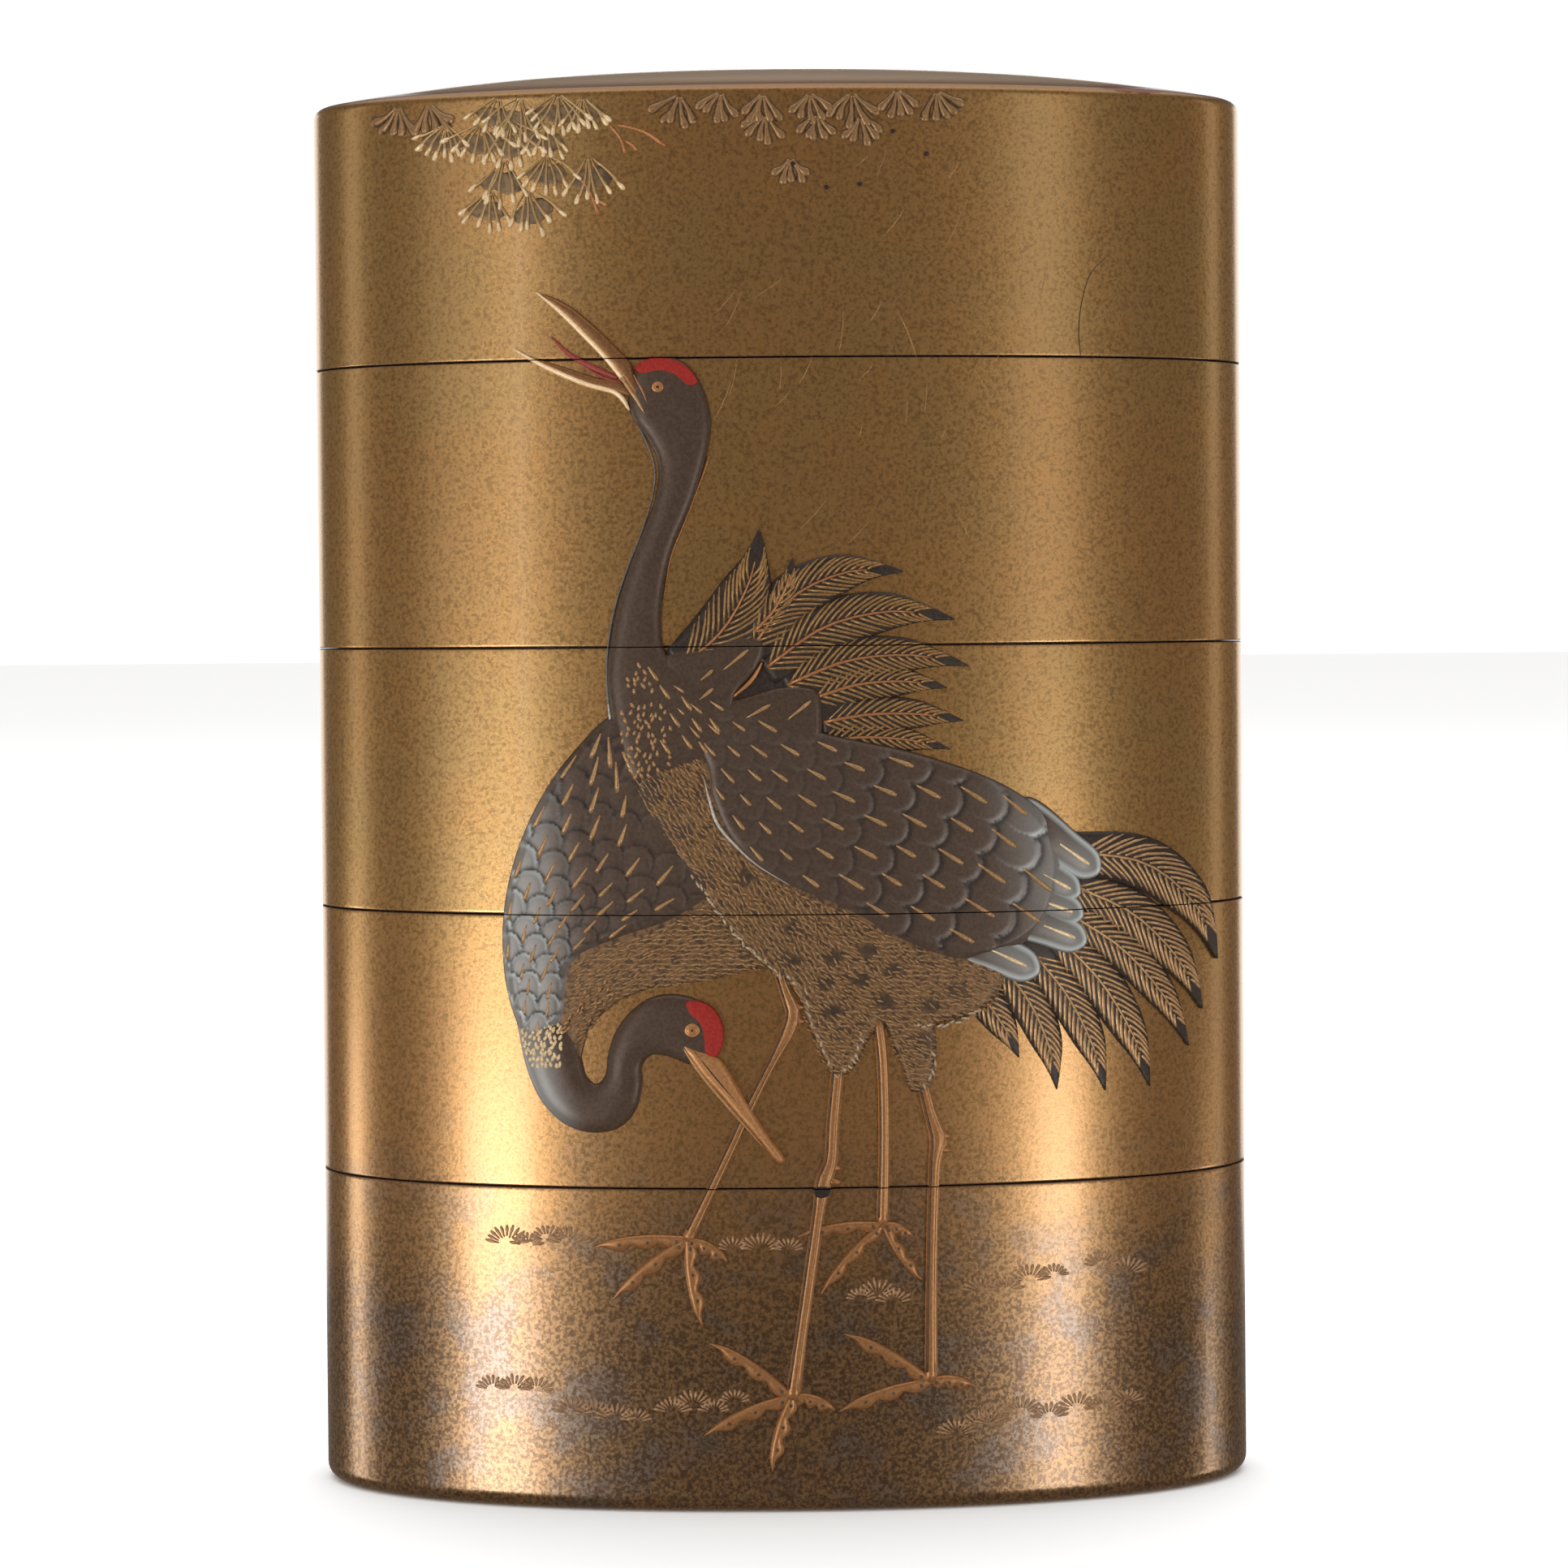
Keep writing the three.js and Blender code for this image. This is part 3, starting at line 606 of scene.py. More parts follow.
def leg(rows, base=0.02):
    """A leg with a painted highlight line down its right side and a painted shade line down its left."""
    ribbon(rows, "leg", LEG_HEIGHT, base=base, steps=7, columns=7)
    fine = at_lengths(spline(rows, 12), np.linspace(0.4, lengths(np.array(rows))[-1] - 0.6, 24))
    for shift, finish in ((0.27, "gold_line"), (-0.36, "shadow")):
        side = shift if fine[-1, 1] < fine[0, 1] else -shift
        path = fine[:, :2] + side * fine[:, 2:] * sideways(fine)
        stroke(path, np.full(24, 0.1), 0.05, finish, base=base + (0.27 if shift < 0.3 else 0.2))


def knee(x, z):
    """Two small bumps on the right of a joint."""
    for low in (0.42, -0.42):
        ribbon([[x - 0.1, z + low + 0.05, 0.5], [x + 0.25, z + low, 0.42], [x + 0.55, z + low, 0.14]], "leg", 0.26,
               base=0.05, steps=4, columns=5)


def toe(hub, claw, bulge, pads=3, width=0.95, sag=0.25):
    """A toe with pads on one side, bulge +1 left or -1 right of its run, and a curved claw."""
    hub, claw = np.array(hub, float), np.array(claw, float)
    away = claw - hub
    normal = np.array([-away[1], away[0]]) / np.linalg.norm(away)
    rows = [[*hub, 0.8 * width], [*(hub + 0.4 * away - sag * bulge * normal), width],
            [*(hub + 0.8 * away - 0.8 * sag * bulge * normal), 0.8 * width], [*claw, 0.12]]

    def sides(t):
        swell = 0.3 + 0.42 * np.abs(np.sin(pads * math.pi * np.clip(t / 0.86, 0, 1))) ** 0.8 * (t < 0.86)
        calm = np.full_like(t, 0.26)
        return (swell, calm) if bulge > 0 else (calm, swell)

    path = ribbon(rows, "leg", LEG_HEIGHT - 0.04, base=0.02, steps=9, columns=7, sides=sides)
    across = sideways(path)
    for k in range(pads):
        i = int((k + 0.5) / pads * 0.86 * (len(path) - 1))
        spot = path[i, :2] + 0.2 * bulge * path[i, 2] * across[i]
        Mound(oval(*spot, 0.12, 0.12, 7), 0.02, 0.08, base=0.25, pitch=0.1).draw("shadow", inner=0.4)


def legs():
    leg([[3.3, 27.4, 0.8], [2.9, 23.4, 0.8], [2.75, 21.2, 0.85], [2.3, 19.9, 1.1], [2.1, 18.8, 0.8],
         [1.6, 15.4, 0.78], [0.9, 10.8, 0.76], [0.35, 6.9, 0.9]], base=0.06)
    leg([[8.3, 26, 0.7], [8.8, 23.9, 0.8], [9.25, 22.5, 1.1], [9.05, 21.3, 0.8], [8.9, 18.6, 0.72],
         [8.75, 13, 0.72], [8.7, 7.8, 0.8]], base=0.06)
    leg([[-0.3, 32.8, 0.6], [0.15, 31.4, 0.7], [0.6, 30.2, 1.0], [0.3, 29.1, 0.95], [-0.5, 27.6, 0.62],
         [-1.9, 24.9, 0.6], [-3.3, 21.9, 0.62], [-4.7, 19, 0.66], [-5.9, 16.5, 0.8]])
    leg([[5.65, 29.8, 0.7], [5.9, 27.6, 0.72], [6, 23, 0.7], [5.85, 17.2, 0.75]])
    for x, z in ((0.75, 30.1), (2.85, 20.4), (9.5, 22.2)):
        knee(x, z)
    for claw, bulge in (([-4.6, 10.3], 1), ([-5, 4.7], 1), ([-0.9, 2.5], 1), ([2.9, 6.2], -1)):
        toe([0.3, 7.1], claw, bulge)
    for claw, bulge in (([3.5, 10.8], 1), ([3.1, 6.1], 1), ([11.3, 7.4], -1)):
        toe([8.7, 7.9], claw, bulge)
    for claw, bulge in (([-11.7, 16], 1), ([-10.5, 12.8], 1), ([-5, 11.3], 1), ([-3.5, 15.2], -1)):
        toe([-5.9, 16.6], claw, bulge)
    for claw, bulge in (([0.7, 16.7], 1), ([2.1, 13.2], 1), ([8.3, 13.9], 1), ([7.7, 16.5], -1)):
        toe([5.85, 17.4], claw, bulge, width=0.8)


# ---- Downy areas: many short gold strokes --------------------------------------------------------

def down(mounds, pitch, flow, length, keep_out):
    """Covers a group of mounds with short strokes that follow flow(x, z)."""
    low = np.min([m.outline.min(0) for m in mounds], axis=0)
    high = np.max([m.outline.max(0) for m in mounds], axis=0)
    x, z = np.meshgrid(np.arange(low[0], high[0], pitch), np.arange(low[1], high[1], pitch * 0.9))
    x[1::2] += pitch / 2
    spots = np.column_stack([x.ravel(), z.ravel()])
    spots += RNG.uniform(-0.22, 0.22, spots.shape) * pitch
    height = np.max([m.top(spots) for m in mounds], axis=0)
    for cover in keep_out:
        height[cover(spots)] = -9
    for (x, z), stands in zip(spots[height > 0.02], height[height > 0.02]):
        angle = flow(x, z) + RNG.normal(0, 0.24)
        size = length * RNG.uniform(0.7, 1.2)
        ends = np.array([math.cos(angle), math.sin(angle)]) * size / 2
        path = np.array([[x, z] - ends, [x, z], [x, z] + ends])
        tone = "down" if RNG.random() < 0.7 else "dim_needle"
        stroke(path, [0.07, 0.15, 0.09], 0.07, tone, base=stands - 0.015)


def down_flow(x, z):
    """Direction of the near crane's down: along the breast, then fanning over belly and thighs."""
    steep = math.radians(-52)
    right = math.radians(-22)
    share = float(smooth_step(0.5, 8.5, x + 0.25 * (36 - z)))
    return steep + (right - steep) * share


# Dark spots on the near belly: x, z
DARK_SPOTS = [
    [0.4, 33.4], [3, 33.5], [5.1, 33.9], [0.6, 35.3], [2.5, 32], [4.7, 32.1], [6.5, 32.7], [6.1, 30.8],
    [8.8, 30.5], [2.9, 30.3], [-2.2, 38.4], [10.4, 31.4], [8.4, 28.4],
]


def near_down():
    centres = np.array(DARK_SPOTS)

    def from_spot(points):
        return np.linalg.norm((points[:, None] - centres[None]) * [0.8, 1.15], axis=-1).min(1)

    def marks(points):
        return np.column_stack([np.zeros(len(points)), smooth_step(0.7, 0.25, from_spot(points))])

    for mound in (NEAR_BODY, *THIGHS):
        mound.marks = marks
        mound.draw("belly", inner=0.3)

    def near_spot(p):
        return (from_spot(p) < 0.5) & (RNG.random(len(p)) < 0.7)

    def under_others(p):
        return (NEAR_WING.depth(p) > 0.02) | (NEAR_NECK.depth(p) > 0.5)

    down([NEAR_BODY, *THIGHS], 0.33, down_flow, 0.5, keep_out=(near_spot, under_others))
    shoulder_grains()
    pale_fringe()


def grains(spots, length, width, angles, base, finish="gold_line"):
    """Short strokes at spots; base is a height or a function of points."""
    for spot in spots:
        angle = RNG.uniform(*angles)
        ends = np.array([math.cos(angle), math.sin(angle)]) * length * RNG.uniform(0.7, 1.2) / 2
        path = np.array([spot - ends, spot, spot + ends])
        stands = base(path) - 0.015 if callable(base) else base
        stroke(path, width * np.array([0.5, 1, 0.7]), 0.08, finish, base=stands)


def pale_fringe():
    """Pale strokes along the edges of the belly and thighs, where the down ends."""
    for rows, count, angle in (
        ([[1.3, 31.4], [1.6, 29.8], [2.2, 28.3], [2.7, 27.1]], 8, -1.2),
        ([[3.2, 26.5], [3.8, 26.9], [4.3, 27.7], [4.8, 28.9]], 8, -0.9),
        ([[8, 29.3], [9.4, 29.3], [10.6, 29.6], [11.6, 30.1]], 10, 0.3),
        ([[8.9, 27.6], [8.9, 26.5], [8.5, 25.6]], 5, -1.4),
        ([[-5.3, 38.4], [-4, 36.5], [-1.9, 33.9], [0.6, 32]], 22, -0.9),
    ):
        fine = spline(rows, 10)
        spots = at_lengths(fine, np.linspace(0, lengths(fine)[-1], count)) + RNG.normal(0, 0.06, (count, 2))
        grains(spots, 0.42, 0.17, (angle - 0.5, angle + 0.5), 0.34, "fringe")


def shoulder_grains():
    """Grains on the shoulder, where the neck's plain lacquer ends; they thin out to the right."""
    x, z = np.meshgrid(np.arange(-10, -3, 0.4), np.arange(43.6, 51.2, 0.42))
    x[1::2] += 0.2
    spots = np.column_stack([x.ravel(), z.ravel()])
    spots += RNG.uniform(-0.12, 0.12, spots.shape)
    x, z = spots.T
    left = np.interp(z, [43.4, 46, 48.5, 50, 51], [-8.9, -9.5, -9.6, -9.4, -8.6])
    right = np.interp(z, [43.4, 44.5, 47, 49, 50.2, 51], [-6, -6.8, -6.4, -6.9, -7.7, -8.2])
    near = (x > left) & (x < right) & (NEAR_NECK.depth(spots) > 0.3)
    near &= (z < 48.9) | (z > 49.5)
    spots = spots[near & (RNG.random(len(spots)) < 0.9)]
    grains(spots, 0.36, 0.22, (-2.1, -0.8), NEAR_NECK.top)
    knobs = [(-6.9, 49.5), (-6.3, 47.8), (-5, 47.5), (-3.95, 47.5), (-5.6, 46.5), (-4.6, 46.1), (-6.9, 46.2),
             (-5.6, 48.8), (-7.6, 50.6)]
    for x, z in knobs:
        path = np.linspace([x - 0.3, z + 0.42], [x + 0.3, z - 0.42], 5)
        stroke(path, 0.26 * np.array([0.4, 0.6, 0.8, 1, 0.6]), 0.08, "gold_line", base=NEAR_NECK.top(path) - 0.01)


# ---- The far crane: stooping and preening, its neck looped back ----------------------------------

FAR_BODY = Mound([
    [-9.4, 48.2], [-12.8, 45.5], [-15.6, 41], [-16.9, 35], [-16.3, 30], [-14.4, 27.4], [-12.5, 27],
    [-11.7, 29.2], [-10.3, 30.6], [-8.5, 31.5], [-6.2, 31.9], [-3.8, 32.3], [-1.9, 32.8], [0, 33], [-2, 36],
    [-7, 42],
], 0.22, 0.4)
FAR_WING = Plumage([
    [-9.4, 48.3], [-12.8, 45.6], [-15.6, 41], [-16.9, 36], [-16.6, 31], [-15.4, 28.6], [-13.4, 29.4],
    [-12.5, 33.2], [-10, 34.5], [-6, 36], [-3.4, 38.5], [-6, 44],
], 0.26, 0.45)
FAR_NECK = [
    [-16.1, 30.6], [-15.95, 28.6], [-15.5, 26.6], [-14.6, 24.7], [-13.2, 23.4], [-11.5, 22.95], [-9.9, 23.3],
    [-8.9, 24.4], [-8.5, 25.9], [-8.5, 27], [-8, 27.65], [-7, 27.6], [-5.6, 27.1], [-4.3, 27.3], [-3.7, 28.3],
    [-3.65, 29.4], [-4.1, 30.4], [-5.1, 31], [-6.4, 31.35], [-7.8, 31.2], [-9.1, 30.4], [-10.1, 29.1],
    [-10.6, 27.7], [-10.8, 26.4], [-11.3, 25.9], [-11.9, 26.4], [-12.2, 27.6], [-12.8, 29], [-14.2, 30.4],
]


def far_crane():
    FAR_BODY.draw("belly")
    left = [[-16.6, 28.6], [-17.2, 32.6], [-17.2, 36.6], [-16.4, 40.2], [-14.9, 43.2], [-13, 45.8]]
    right = [[-13.4, 28.2], [-12.2, 31.6], [-8.6, 34.2], [-4.4, 36.8], [-4.2, 40.4], [-7.4, 43.8]]

    # Painted reflection: the far wing pales towards its left.
    def silver(points):
        return 0.9 * smooth_step(-11.5, -15.5, points[:, 0] + 0.12 * (points[:, 1] - 36))

    def clear(points):
        return 0.6 + 0.4 * smooth_step(-8, -14, points[:, 0])

    def hidden(p):
        return NEAR_BODY.depth([p])[0] > -0.1

    rows = feather_rows(left, right, (0.95, 1.85), (1.0, 2.1), 2.0, 1.28, turn=-6)
    FAR_WING.feathers(rows, 0.24, 0.13, 0.3, clear, silver)
    FAR_WING.draw("feather", inner=0.13)
    FAR_WING.shafts(0.28, 0.74, 0.27, hidden=hidden, knob=-1)

    def lower_at_root(points):
        x, z = points.T
        return 1 - 0.45 * smooth_step(27.2, 29.8, z - 0.5 * (x + 15)) * (x < -11.6)

    # Painted highlight on the lower left of the looped neck.
    def silvered(points):
        low_left = smooth_step(-12.2, -15, points[:, 0] + 0.35 * (points[:, 1] - 25))
        return np.column_stack([0.42 * low_left, np.zeros(len(points))])

    head = Mound(FAR_NECK, 0.46, 1.1, pitch=0.22, fade=lower_at_root, marks=silvered)
    head.draw("feather", inner=0.35)
    Mound([[-5.8, 30.9], [-4.8, 30.85], [-4.05, 30.3], [-3.65, 29.4], [-3.65, 28.4], [-4.1, 27.6], [-4.65, 27.8],
           [-4.85, 28.6], [-5.05, 29.5], [-5.6, 30.1]], 0.1, 0.3, base=0.38, pitch=0.15).draw("red")
    eye([-5.45, 29.2], 0.44)
    Mound([[-6.2, 28.5], [-5.2, 28.1], [-4.2, 27.7], [-3.7, 27.3], [-2.9, 26], [-1.9, 24.3], [-0.9, 22.7],
           [0, 21.35], [-0.3, 21.15], [-1.5, 22.5], [-2.8, 24], [-3.9, 25.3], [-4.8, 26.3], [-5.6, 27.4]],
          0.3, 0.35, base=0.2, pitch=0.15).draw("horn", inner=0.4)
    ribbon([[-6.25, 28.55, 0.1], [-5.5, 27.35, 0.26], [-4.6, 26.1, 0.26], [-2.8, 23.95, 0.22], [-1.2, 22.1, 0.08]],
           "gold_line", 0.24, base=0.25, steps=6, columns=7)
    ribbon([[-5.3, 27.9, 0.06], [-4.2, 26.5, 0.12], [-2.7, 24.7, 0.06]], "dark_line", 0.1, base=0.43, steps=5,
           columns=5)

    def flow(x, z):
        return math.radians(205 - 3.5 * (x + 12))

    def covered(p):
        return (FAR_WING.depth(p) > -0.1) | (NEAR_BODY.depth(p) > 0) | (head.depth(p) > -0.2)

    down([FAR_BODY], 0.33, flow, 0.52, keep_out=(covered,))
    x, z = np.meshgrid(np.arange(-16.4, -12, 0.31), np.arange(27.1, 31.4, 0.31))
    x[1::2] += 0.155
    spots = np.column_stack([x.ravel(), z.ravel()]) + RNG.uniform(-0.12, 0.12, (x.size, 2))
    x, z = spots.T
    near = x > np.interp(z, [26.6, 28, 31], [-15.6, -16, -16.3])
    near &= x < np.interp(z, [26.6, 31], [-13.4, -12.8])
    near &= (z < 31 + 0.5 * (x + 14)) & (head.depth(spots) > 0.2)
    grains(spots[near], 0.34, 0.22, (-2.2, -1.1), head.top, "bead")
    trail = [[x + RNG.normal(0, 0.3), np.interp(x, [-14, -10.6], [28.6, 31.6]) + RNG.normal(0, 0.35)]
             for x in np.linspace(-14, -10.4, 26)]
    grains(np.array(trail), 0.32, 0.16, (0.3, 1.2), 0.3)


# ---- Plumes --------------------------------------------------------------------------------------

RAISED_PLUMES = [
    ([2, 46.4], [10.2, 45.9], 0.5, 1.8), ([2.4, 47.6], [11, 47.6], 0.5, 2.2), ([1.8, 49], [10, 49.6], 0.7, 2.2),
    ([0.2, 49.8], [11.3, 50.9], 1.2, 2.6),
    ([-1, 50.8], [10.5, 53.7], 1.7, 3.0), ([-1.8, 52], [7.4, 56.6], 1.8, 3.0),
    ([-1.6, 53], [0.8, 57.5], -0.5, 1.6), ([-6, 50.9], [-1.2, 59.2], -1.2, 3.6),
]
TAIL_PLUMES = [
    ([10.4, 32.6], [14.2, 27.2], 0.4, 2.2), ([12.8, 33.2], [16.5, 25.2], 0.8, 2.4),
    ([15, 33.6], [19.5, 25], 0.7, 2.4), ([16.4, 34.6], [22.3, 25.1], 0.9, 2.6),
    ([17, 36], [24.8, 27.4], 1.1, 2.4), ([17.4, 37.6], [25.7, 29.6], 1.4, 2.8),
    ([17.6, 39.6], [26.7, 32.6], 2.2, 3.2),
]
PLUME_STEP = 0.035              # each plume lies this much over the last


def plumes():
    for group, shaft, barb in ((RAISED_PLUMES, "copper_line", "barb"), (TAIL_PLUMES, "tail_barb", "tail_barb")):
        for order, (root, tip, bow, width) in enumerate(group):
            plume(root, tip, bow, width, 0.02 + PLUME_STEP * order, shaft, barb)


# ---- Pine and ground plants ----------------------------------------------------------------------

# Rows of pine fans that hang in from the rim: height, from x, to x, fans
BRIGHT_ROWS = [(85.5, -17.5, -11, 4), (84, -21, -13, 4), (82, -17.5, -10, 3), (80, -18.5, -14, 2)]
DIM_ROWS = [(85.5, -23.5, -20.5, 2), (85.5, -7, 11, 7), (84, -2, 6.5, 3), (81.5, 0.5, 1.5, 1)]
BRIGHT_REACH = 2.6
DIM_REACH = 1.9
NEEDLE_PITCH = 15               # degrees from needle to needle
# Clumps of ground plants: middle x, z, width, plants
CLUMPS = [
    (-16.5, 7, 4, 3), (-11, 6, 5, 4), (-5, 6.5, 5, 4), (-15, 16, 5, 4), (-1.5, 16, 5, 3), (5.5, 13, 3, 3),
    (14, 13.5, 6, 4), (20, 14, 3, 2), (15, 5.5, 7, 4), (20, 6, 3, 2), (11, 4.5, 3, 2),
]
# Thin red twigs under the boughs: x, z, length, aim in degrees
TWIGS = [
    (-10, 83.5, 2, 300), (-9.5, 83.5, 3.2, 335), (-9, 82.5, 0.9, 320), (-12.5, 81, 3.4, 303),
    (-11, 79, 0.9, 340),
]
DROPS_UNDER_BOUGHS = 5


def needle_fan(x, z, reach, aim, spread, needles, bright, side="front"):
    """Pine needles that spread from a hub over a dark ground.

    Bright ones are thin lines that end in a bead; the others swell to a dull drop.
    """
    hub = np.array([x, z])
    shares = (np.arange(needles) + 0.5) / needles - 0.5
    angles = np.radians(aim + spread * shares) + RNG.normal(0, 0.05, needles)
    rays = [np.array([math.cos(a), math.sin(a)]) for a in angles]
    arc = [np.array([math.cos(a), math.sin(a)])
           for a in np.radians(aim + spread * np.linspace(-0.42, 0.42, 6))]
    if bright:
        corners = [hub + RNG.uniform(0.68, 0.8) * reach * ray for ray in arc]
        corners += [hub + 0.32 * reach * ray for ray in arc[::-2]]
        Mound(corners, 0.03, 0.15, pitch=0.3).draw("hollow", side, inner=1.0)
    for ray in rays:
        size = reach * RNG.uniform(0.86, 1.06)
        turn = RNG.uniform(-0.06, 0.06) * size * np.array([-ray[1], ray[0]])
        start, middle, end = hub + 0.1 * size * ray, hub + 0.55 * size * ray + turn, hub + size * ray
        if bright:
            rows = [[*start, 0.1], [*middle, 0.16], [*(end - 0.2 * ray), 0.24], [*end, 0.14]]
            ribbon(rows, "needle", 0.12, base=0.04, steps=3, columns=5, side=side)
            bead = RNG.uniform(0.22, 0.32)
            ribbon([[*(end - 0.55 * ray), 0.14], [*(end - 0.2 * ray), bead], [*(end + 0.08 * ray), 0.8 * bead]],
                   "bead", 0.16, base=0.06, steps=3, columns=5, round_ends=(True, True), side=side)
            continue
        rows = [[*start, 0.16], [*middle, 0.28], [*(end - 0.25 * ray), 0.52], [*end, 0.4]]
        shadow = [[*row[:2], row[2] + 0.14] for row in rows]
        ribbon(shadow, "shadow", 0.03, base=0.0, steps=3, columns=3, round_ends=(False, True), side=side)
        ribbon(rows, "dim_needle", 0.12, base=0.02, steps=3, columns=7, round_ends=(False, True), side=side)


def seedling(x, z, size):
    """A low fan of short strokes."""
    count = int(round(5 + 4 * size))
    for angle in np.radians(np.linspace(14, 166, count)):
        ray = np.array([1.05 * math.cos(angle), 0.85 * math.sin(angle)]) * size
        start = np.array([x, z]) + ray * RNG.uniform(0.35, 0.45)
        end = np.array([x, z]) + ray * RNG.uniform(0.92, 1.08)
        stroke(np.linspace(start, end, 4), [0.08, 0.13, 0.2, 0.12], 0.09, "sprig", base=0.01)


def fan_row(z, left, right, count, reach, bright):
    """Fans side by side that splay outwards from the middle of their row."""
    for share in (np.arange(count) + 0.5) / count:
        x = left + (right - left) * share + RNG.normal(0, 0.15)
        aim = 270 + 30 * (share - 0.5) + RNG.uniform(-10, 10)
        spread = RNG.uniform(90, 130)
        needles = int(spread / NEEDLE_PITCH) if bright else 5
        needle_fan(x, z + RNG.uniform(-0.3, 0), reach * RNG.uniform(0.85, 1.15), aim, spread, needles, bright)


def twig(x, z, length, aim):
    """A thin stroke that sags a little and swells towards its end."""
    way = np.array([math.cos(math.radians(aim)), math.sin(math.radians(aim))])
    middle = np.array([x, z]) + 0.5 * length * way + [0.08 * length, 0.05 * length]
    end = np.array([x, z]) + length * way
    ribbon([[x, z, 0.12], [*middle, 0.16], [*end, 0.22]], "copper_line", 0.12, base=0.02, steps=4, columns=5)


def pine_and_plants():
    for row in DIM_ROWS:
        fan_row(*row, DIM_REACH, False)
    for row in BRIGHT_ROWS:
        fan_row(*row, BRIGHT_REACH, True)
    for x in np.linspace(1, 9, DROPS_UNDER_BOUGHS):
        z = RNG.uniform(79.5, 84.5)
        Mound(oval(x, z, 0.16, 0.13, 6), 0.03, 0.08, base=0.12, pitch=0.12).draw("dark_line", inner=0.4)
    for x, z, width, plants in CLUMPS:
        for share in (np.arange(plants) + 0.5) / plants - 0.5:
            seedling(x + share * width, z + RNG.uniform(-0.5, 0.5), RNG.uniform(0.9, 1.4))
    for row in TWIGS:
        twig(*row)


# ---- The back: the pine itself -------------------------------------------------------------------

BACK_LIMBS = [
    ([[9.4, 1.5, 10.4], [7.6, 6, 7.6], [6.4, 12, 6.4], [4.4, 24, 5.4], [-1.6, 38, 5], [-2.4, 50, 4.4],
      [1.6, 64, 3.8], [2.4, 80, 3], [2.2, 85.2, 2.8]], 0.62, 15),
    ([[-1, 45, 2.6], [-8, 52, 2], [-16, 55, 1.2], [-21, 54, 0.5]], 0.5, 11),
    ([[1, 62, 2.6], [9, 68, 2], [16, 70, 1.2], [21.5, 69, 0.5]], 0.5, 11),
]
BACK_FANS = [
    (-21, 54, 3.4, 250, 150), (-16.5, 55.4, 3.6, 262, 150), (-11.6, 54.2, 3.4, 250, 150),
    (21.6, 69, 3.2, 290, 150), (17, 70.4, 3.6, 278, 150), (12, 69.8, 3.4, 285, 150),
    (-14.6, 84.8, 3.4, 268, 140), (-9, 84.6, 3.2, 275, 140), (10, 84.6, 3.2, 265, 140),
]


def back_tree():
    for rows, height, columns in BACK_LIMBS:
        ribbon(rows, "bark", height, steps=14, columns=columns, power=2.4, side="back")
        fine = spline(rows, 20)
        total = lengths(fine)[-1]
        wide = fine[:, 2].max()
        # Bark plates: short curved ridges in staggered rows
        for i, start in enumerate(np.arange(0.8, total - 2, 1.15)):
            spot = at_lengths(np.column_stack([fine, sideways(fine)]), [start, start + 0.7, start + 1.4])
            count = max(int(spot[0, 2] / 1.1), 1)
            for k in range(count):
                share = (k + 0.5 + 0.25 * (-1) ** i) / count - 0.5
                if abs(share) > 0.42:
                    continue
                reach = share * spot[:, 2] * RNG.uniform(0.95, 1.05)
                path = spot[:, :2] + reach[:, None] * spot[:, 3:5]
                stands = height * (1 - abs(2 * share) ** 2.4) ** (1 / 2.4) * math.sqrt(spot[1, 2] / wide)
                stroke(path, [0.3, 0.62, 0.2], 0.1, "bark_ridge", base=min(stands, 0.63) - 0.02, side="back")
    for x, z, reach, aim, spread in BACK_FANS:
        needle_fan(x, z, reach, aim, spread, 11, True, side="back")
        needle_fan(x, z, 0.7 * reach, aim + 4, 0.8 * spread, 7, True, side="back")


# ---- Wear ----------------------------------------------------------------------------------------

def wear():
    """A crack, a dark notch on a leg, and faint scratches over the lid and the first case."""
    crack = [[18.3, 69.6, 0.05], [18.2, 71, 0.07], [18.4, 72.8, 0.06], [19, 74.6, 0.05], [20, 75.6, 0.03]]
    ribbon(crack, "dark_line", 0.012, base=0.0, steps=5, columns=3)
    for _ in range(34):
        x, z = RNG.uniform(-4, 17), RNG.uniform(58, 81)
        angle = RNG.choice([0.9, 1.1, 2.1, 1.4]) + RNG.normal(0, 0.12)
        run = RNG.uniform(0.8, 3.2)
        share = np.linspace(0, 1, 6)[:, None]
        path = [x, z] + share * run * np.array([math.cos(angle), math.sin(angle)])
        path[:, 0] += 0.15 * run * (share * (1 - share))[:, 0]
        stroke(path, 0.055 * np.array([0.3, 0.8, 1, 1, 0.8, 0.3]), 0.008, "scratch", base=0.0)
    Mound([[1.7, 19.62], [2.2, 19.75], [2.75, 19.62], [2.6, 19.2], [2.2, 19.05], [1.8, 19.2]], 0.05, 0.1,
          base=0.34, pitch=0.1).draw("dark_line", inner=0.25)


# ---- The shells ----------------------------------------------------------------------------------

ANGLES = np.arange(AROUND) / AROUND * 2 * math.pi


def plan_ring(half_width, half_depth, power, z, outset=0.0, scale=1.0):
    """One level of a shell: an oval plan moved out along its own normal."""
    cos, sin = np.cos(ANGLES), np.sin(ANGLES)
    x = half_width * np.sign(cos) * np.abs(cos) ** (2 / power)
    y = half_depth * np.sign(sin) * np.abs(sin) ** (2 / power)
    slope_x = np.sign(x) * np.abs(x / half_width) ** (power - 1) / half_width
    slope_y = np.sign(y) * np.abs(y / half_depth) ** (power - 1) / half_depth
    size = np.hypot(slope_x, slope_y)
    ring = np.column_stack([x + outset * slope_x / size, y + outset * slope_y / size]) * scale
    return np.column_stack([ring, np.full(AROUND, z)])


def outer(z, outset=0.0, scale=1.0):
    return plan_ring(HALF_WIDTH, HALF_DEPTH, OUTLINE_POWER, z, outset, scale)


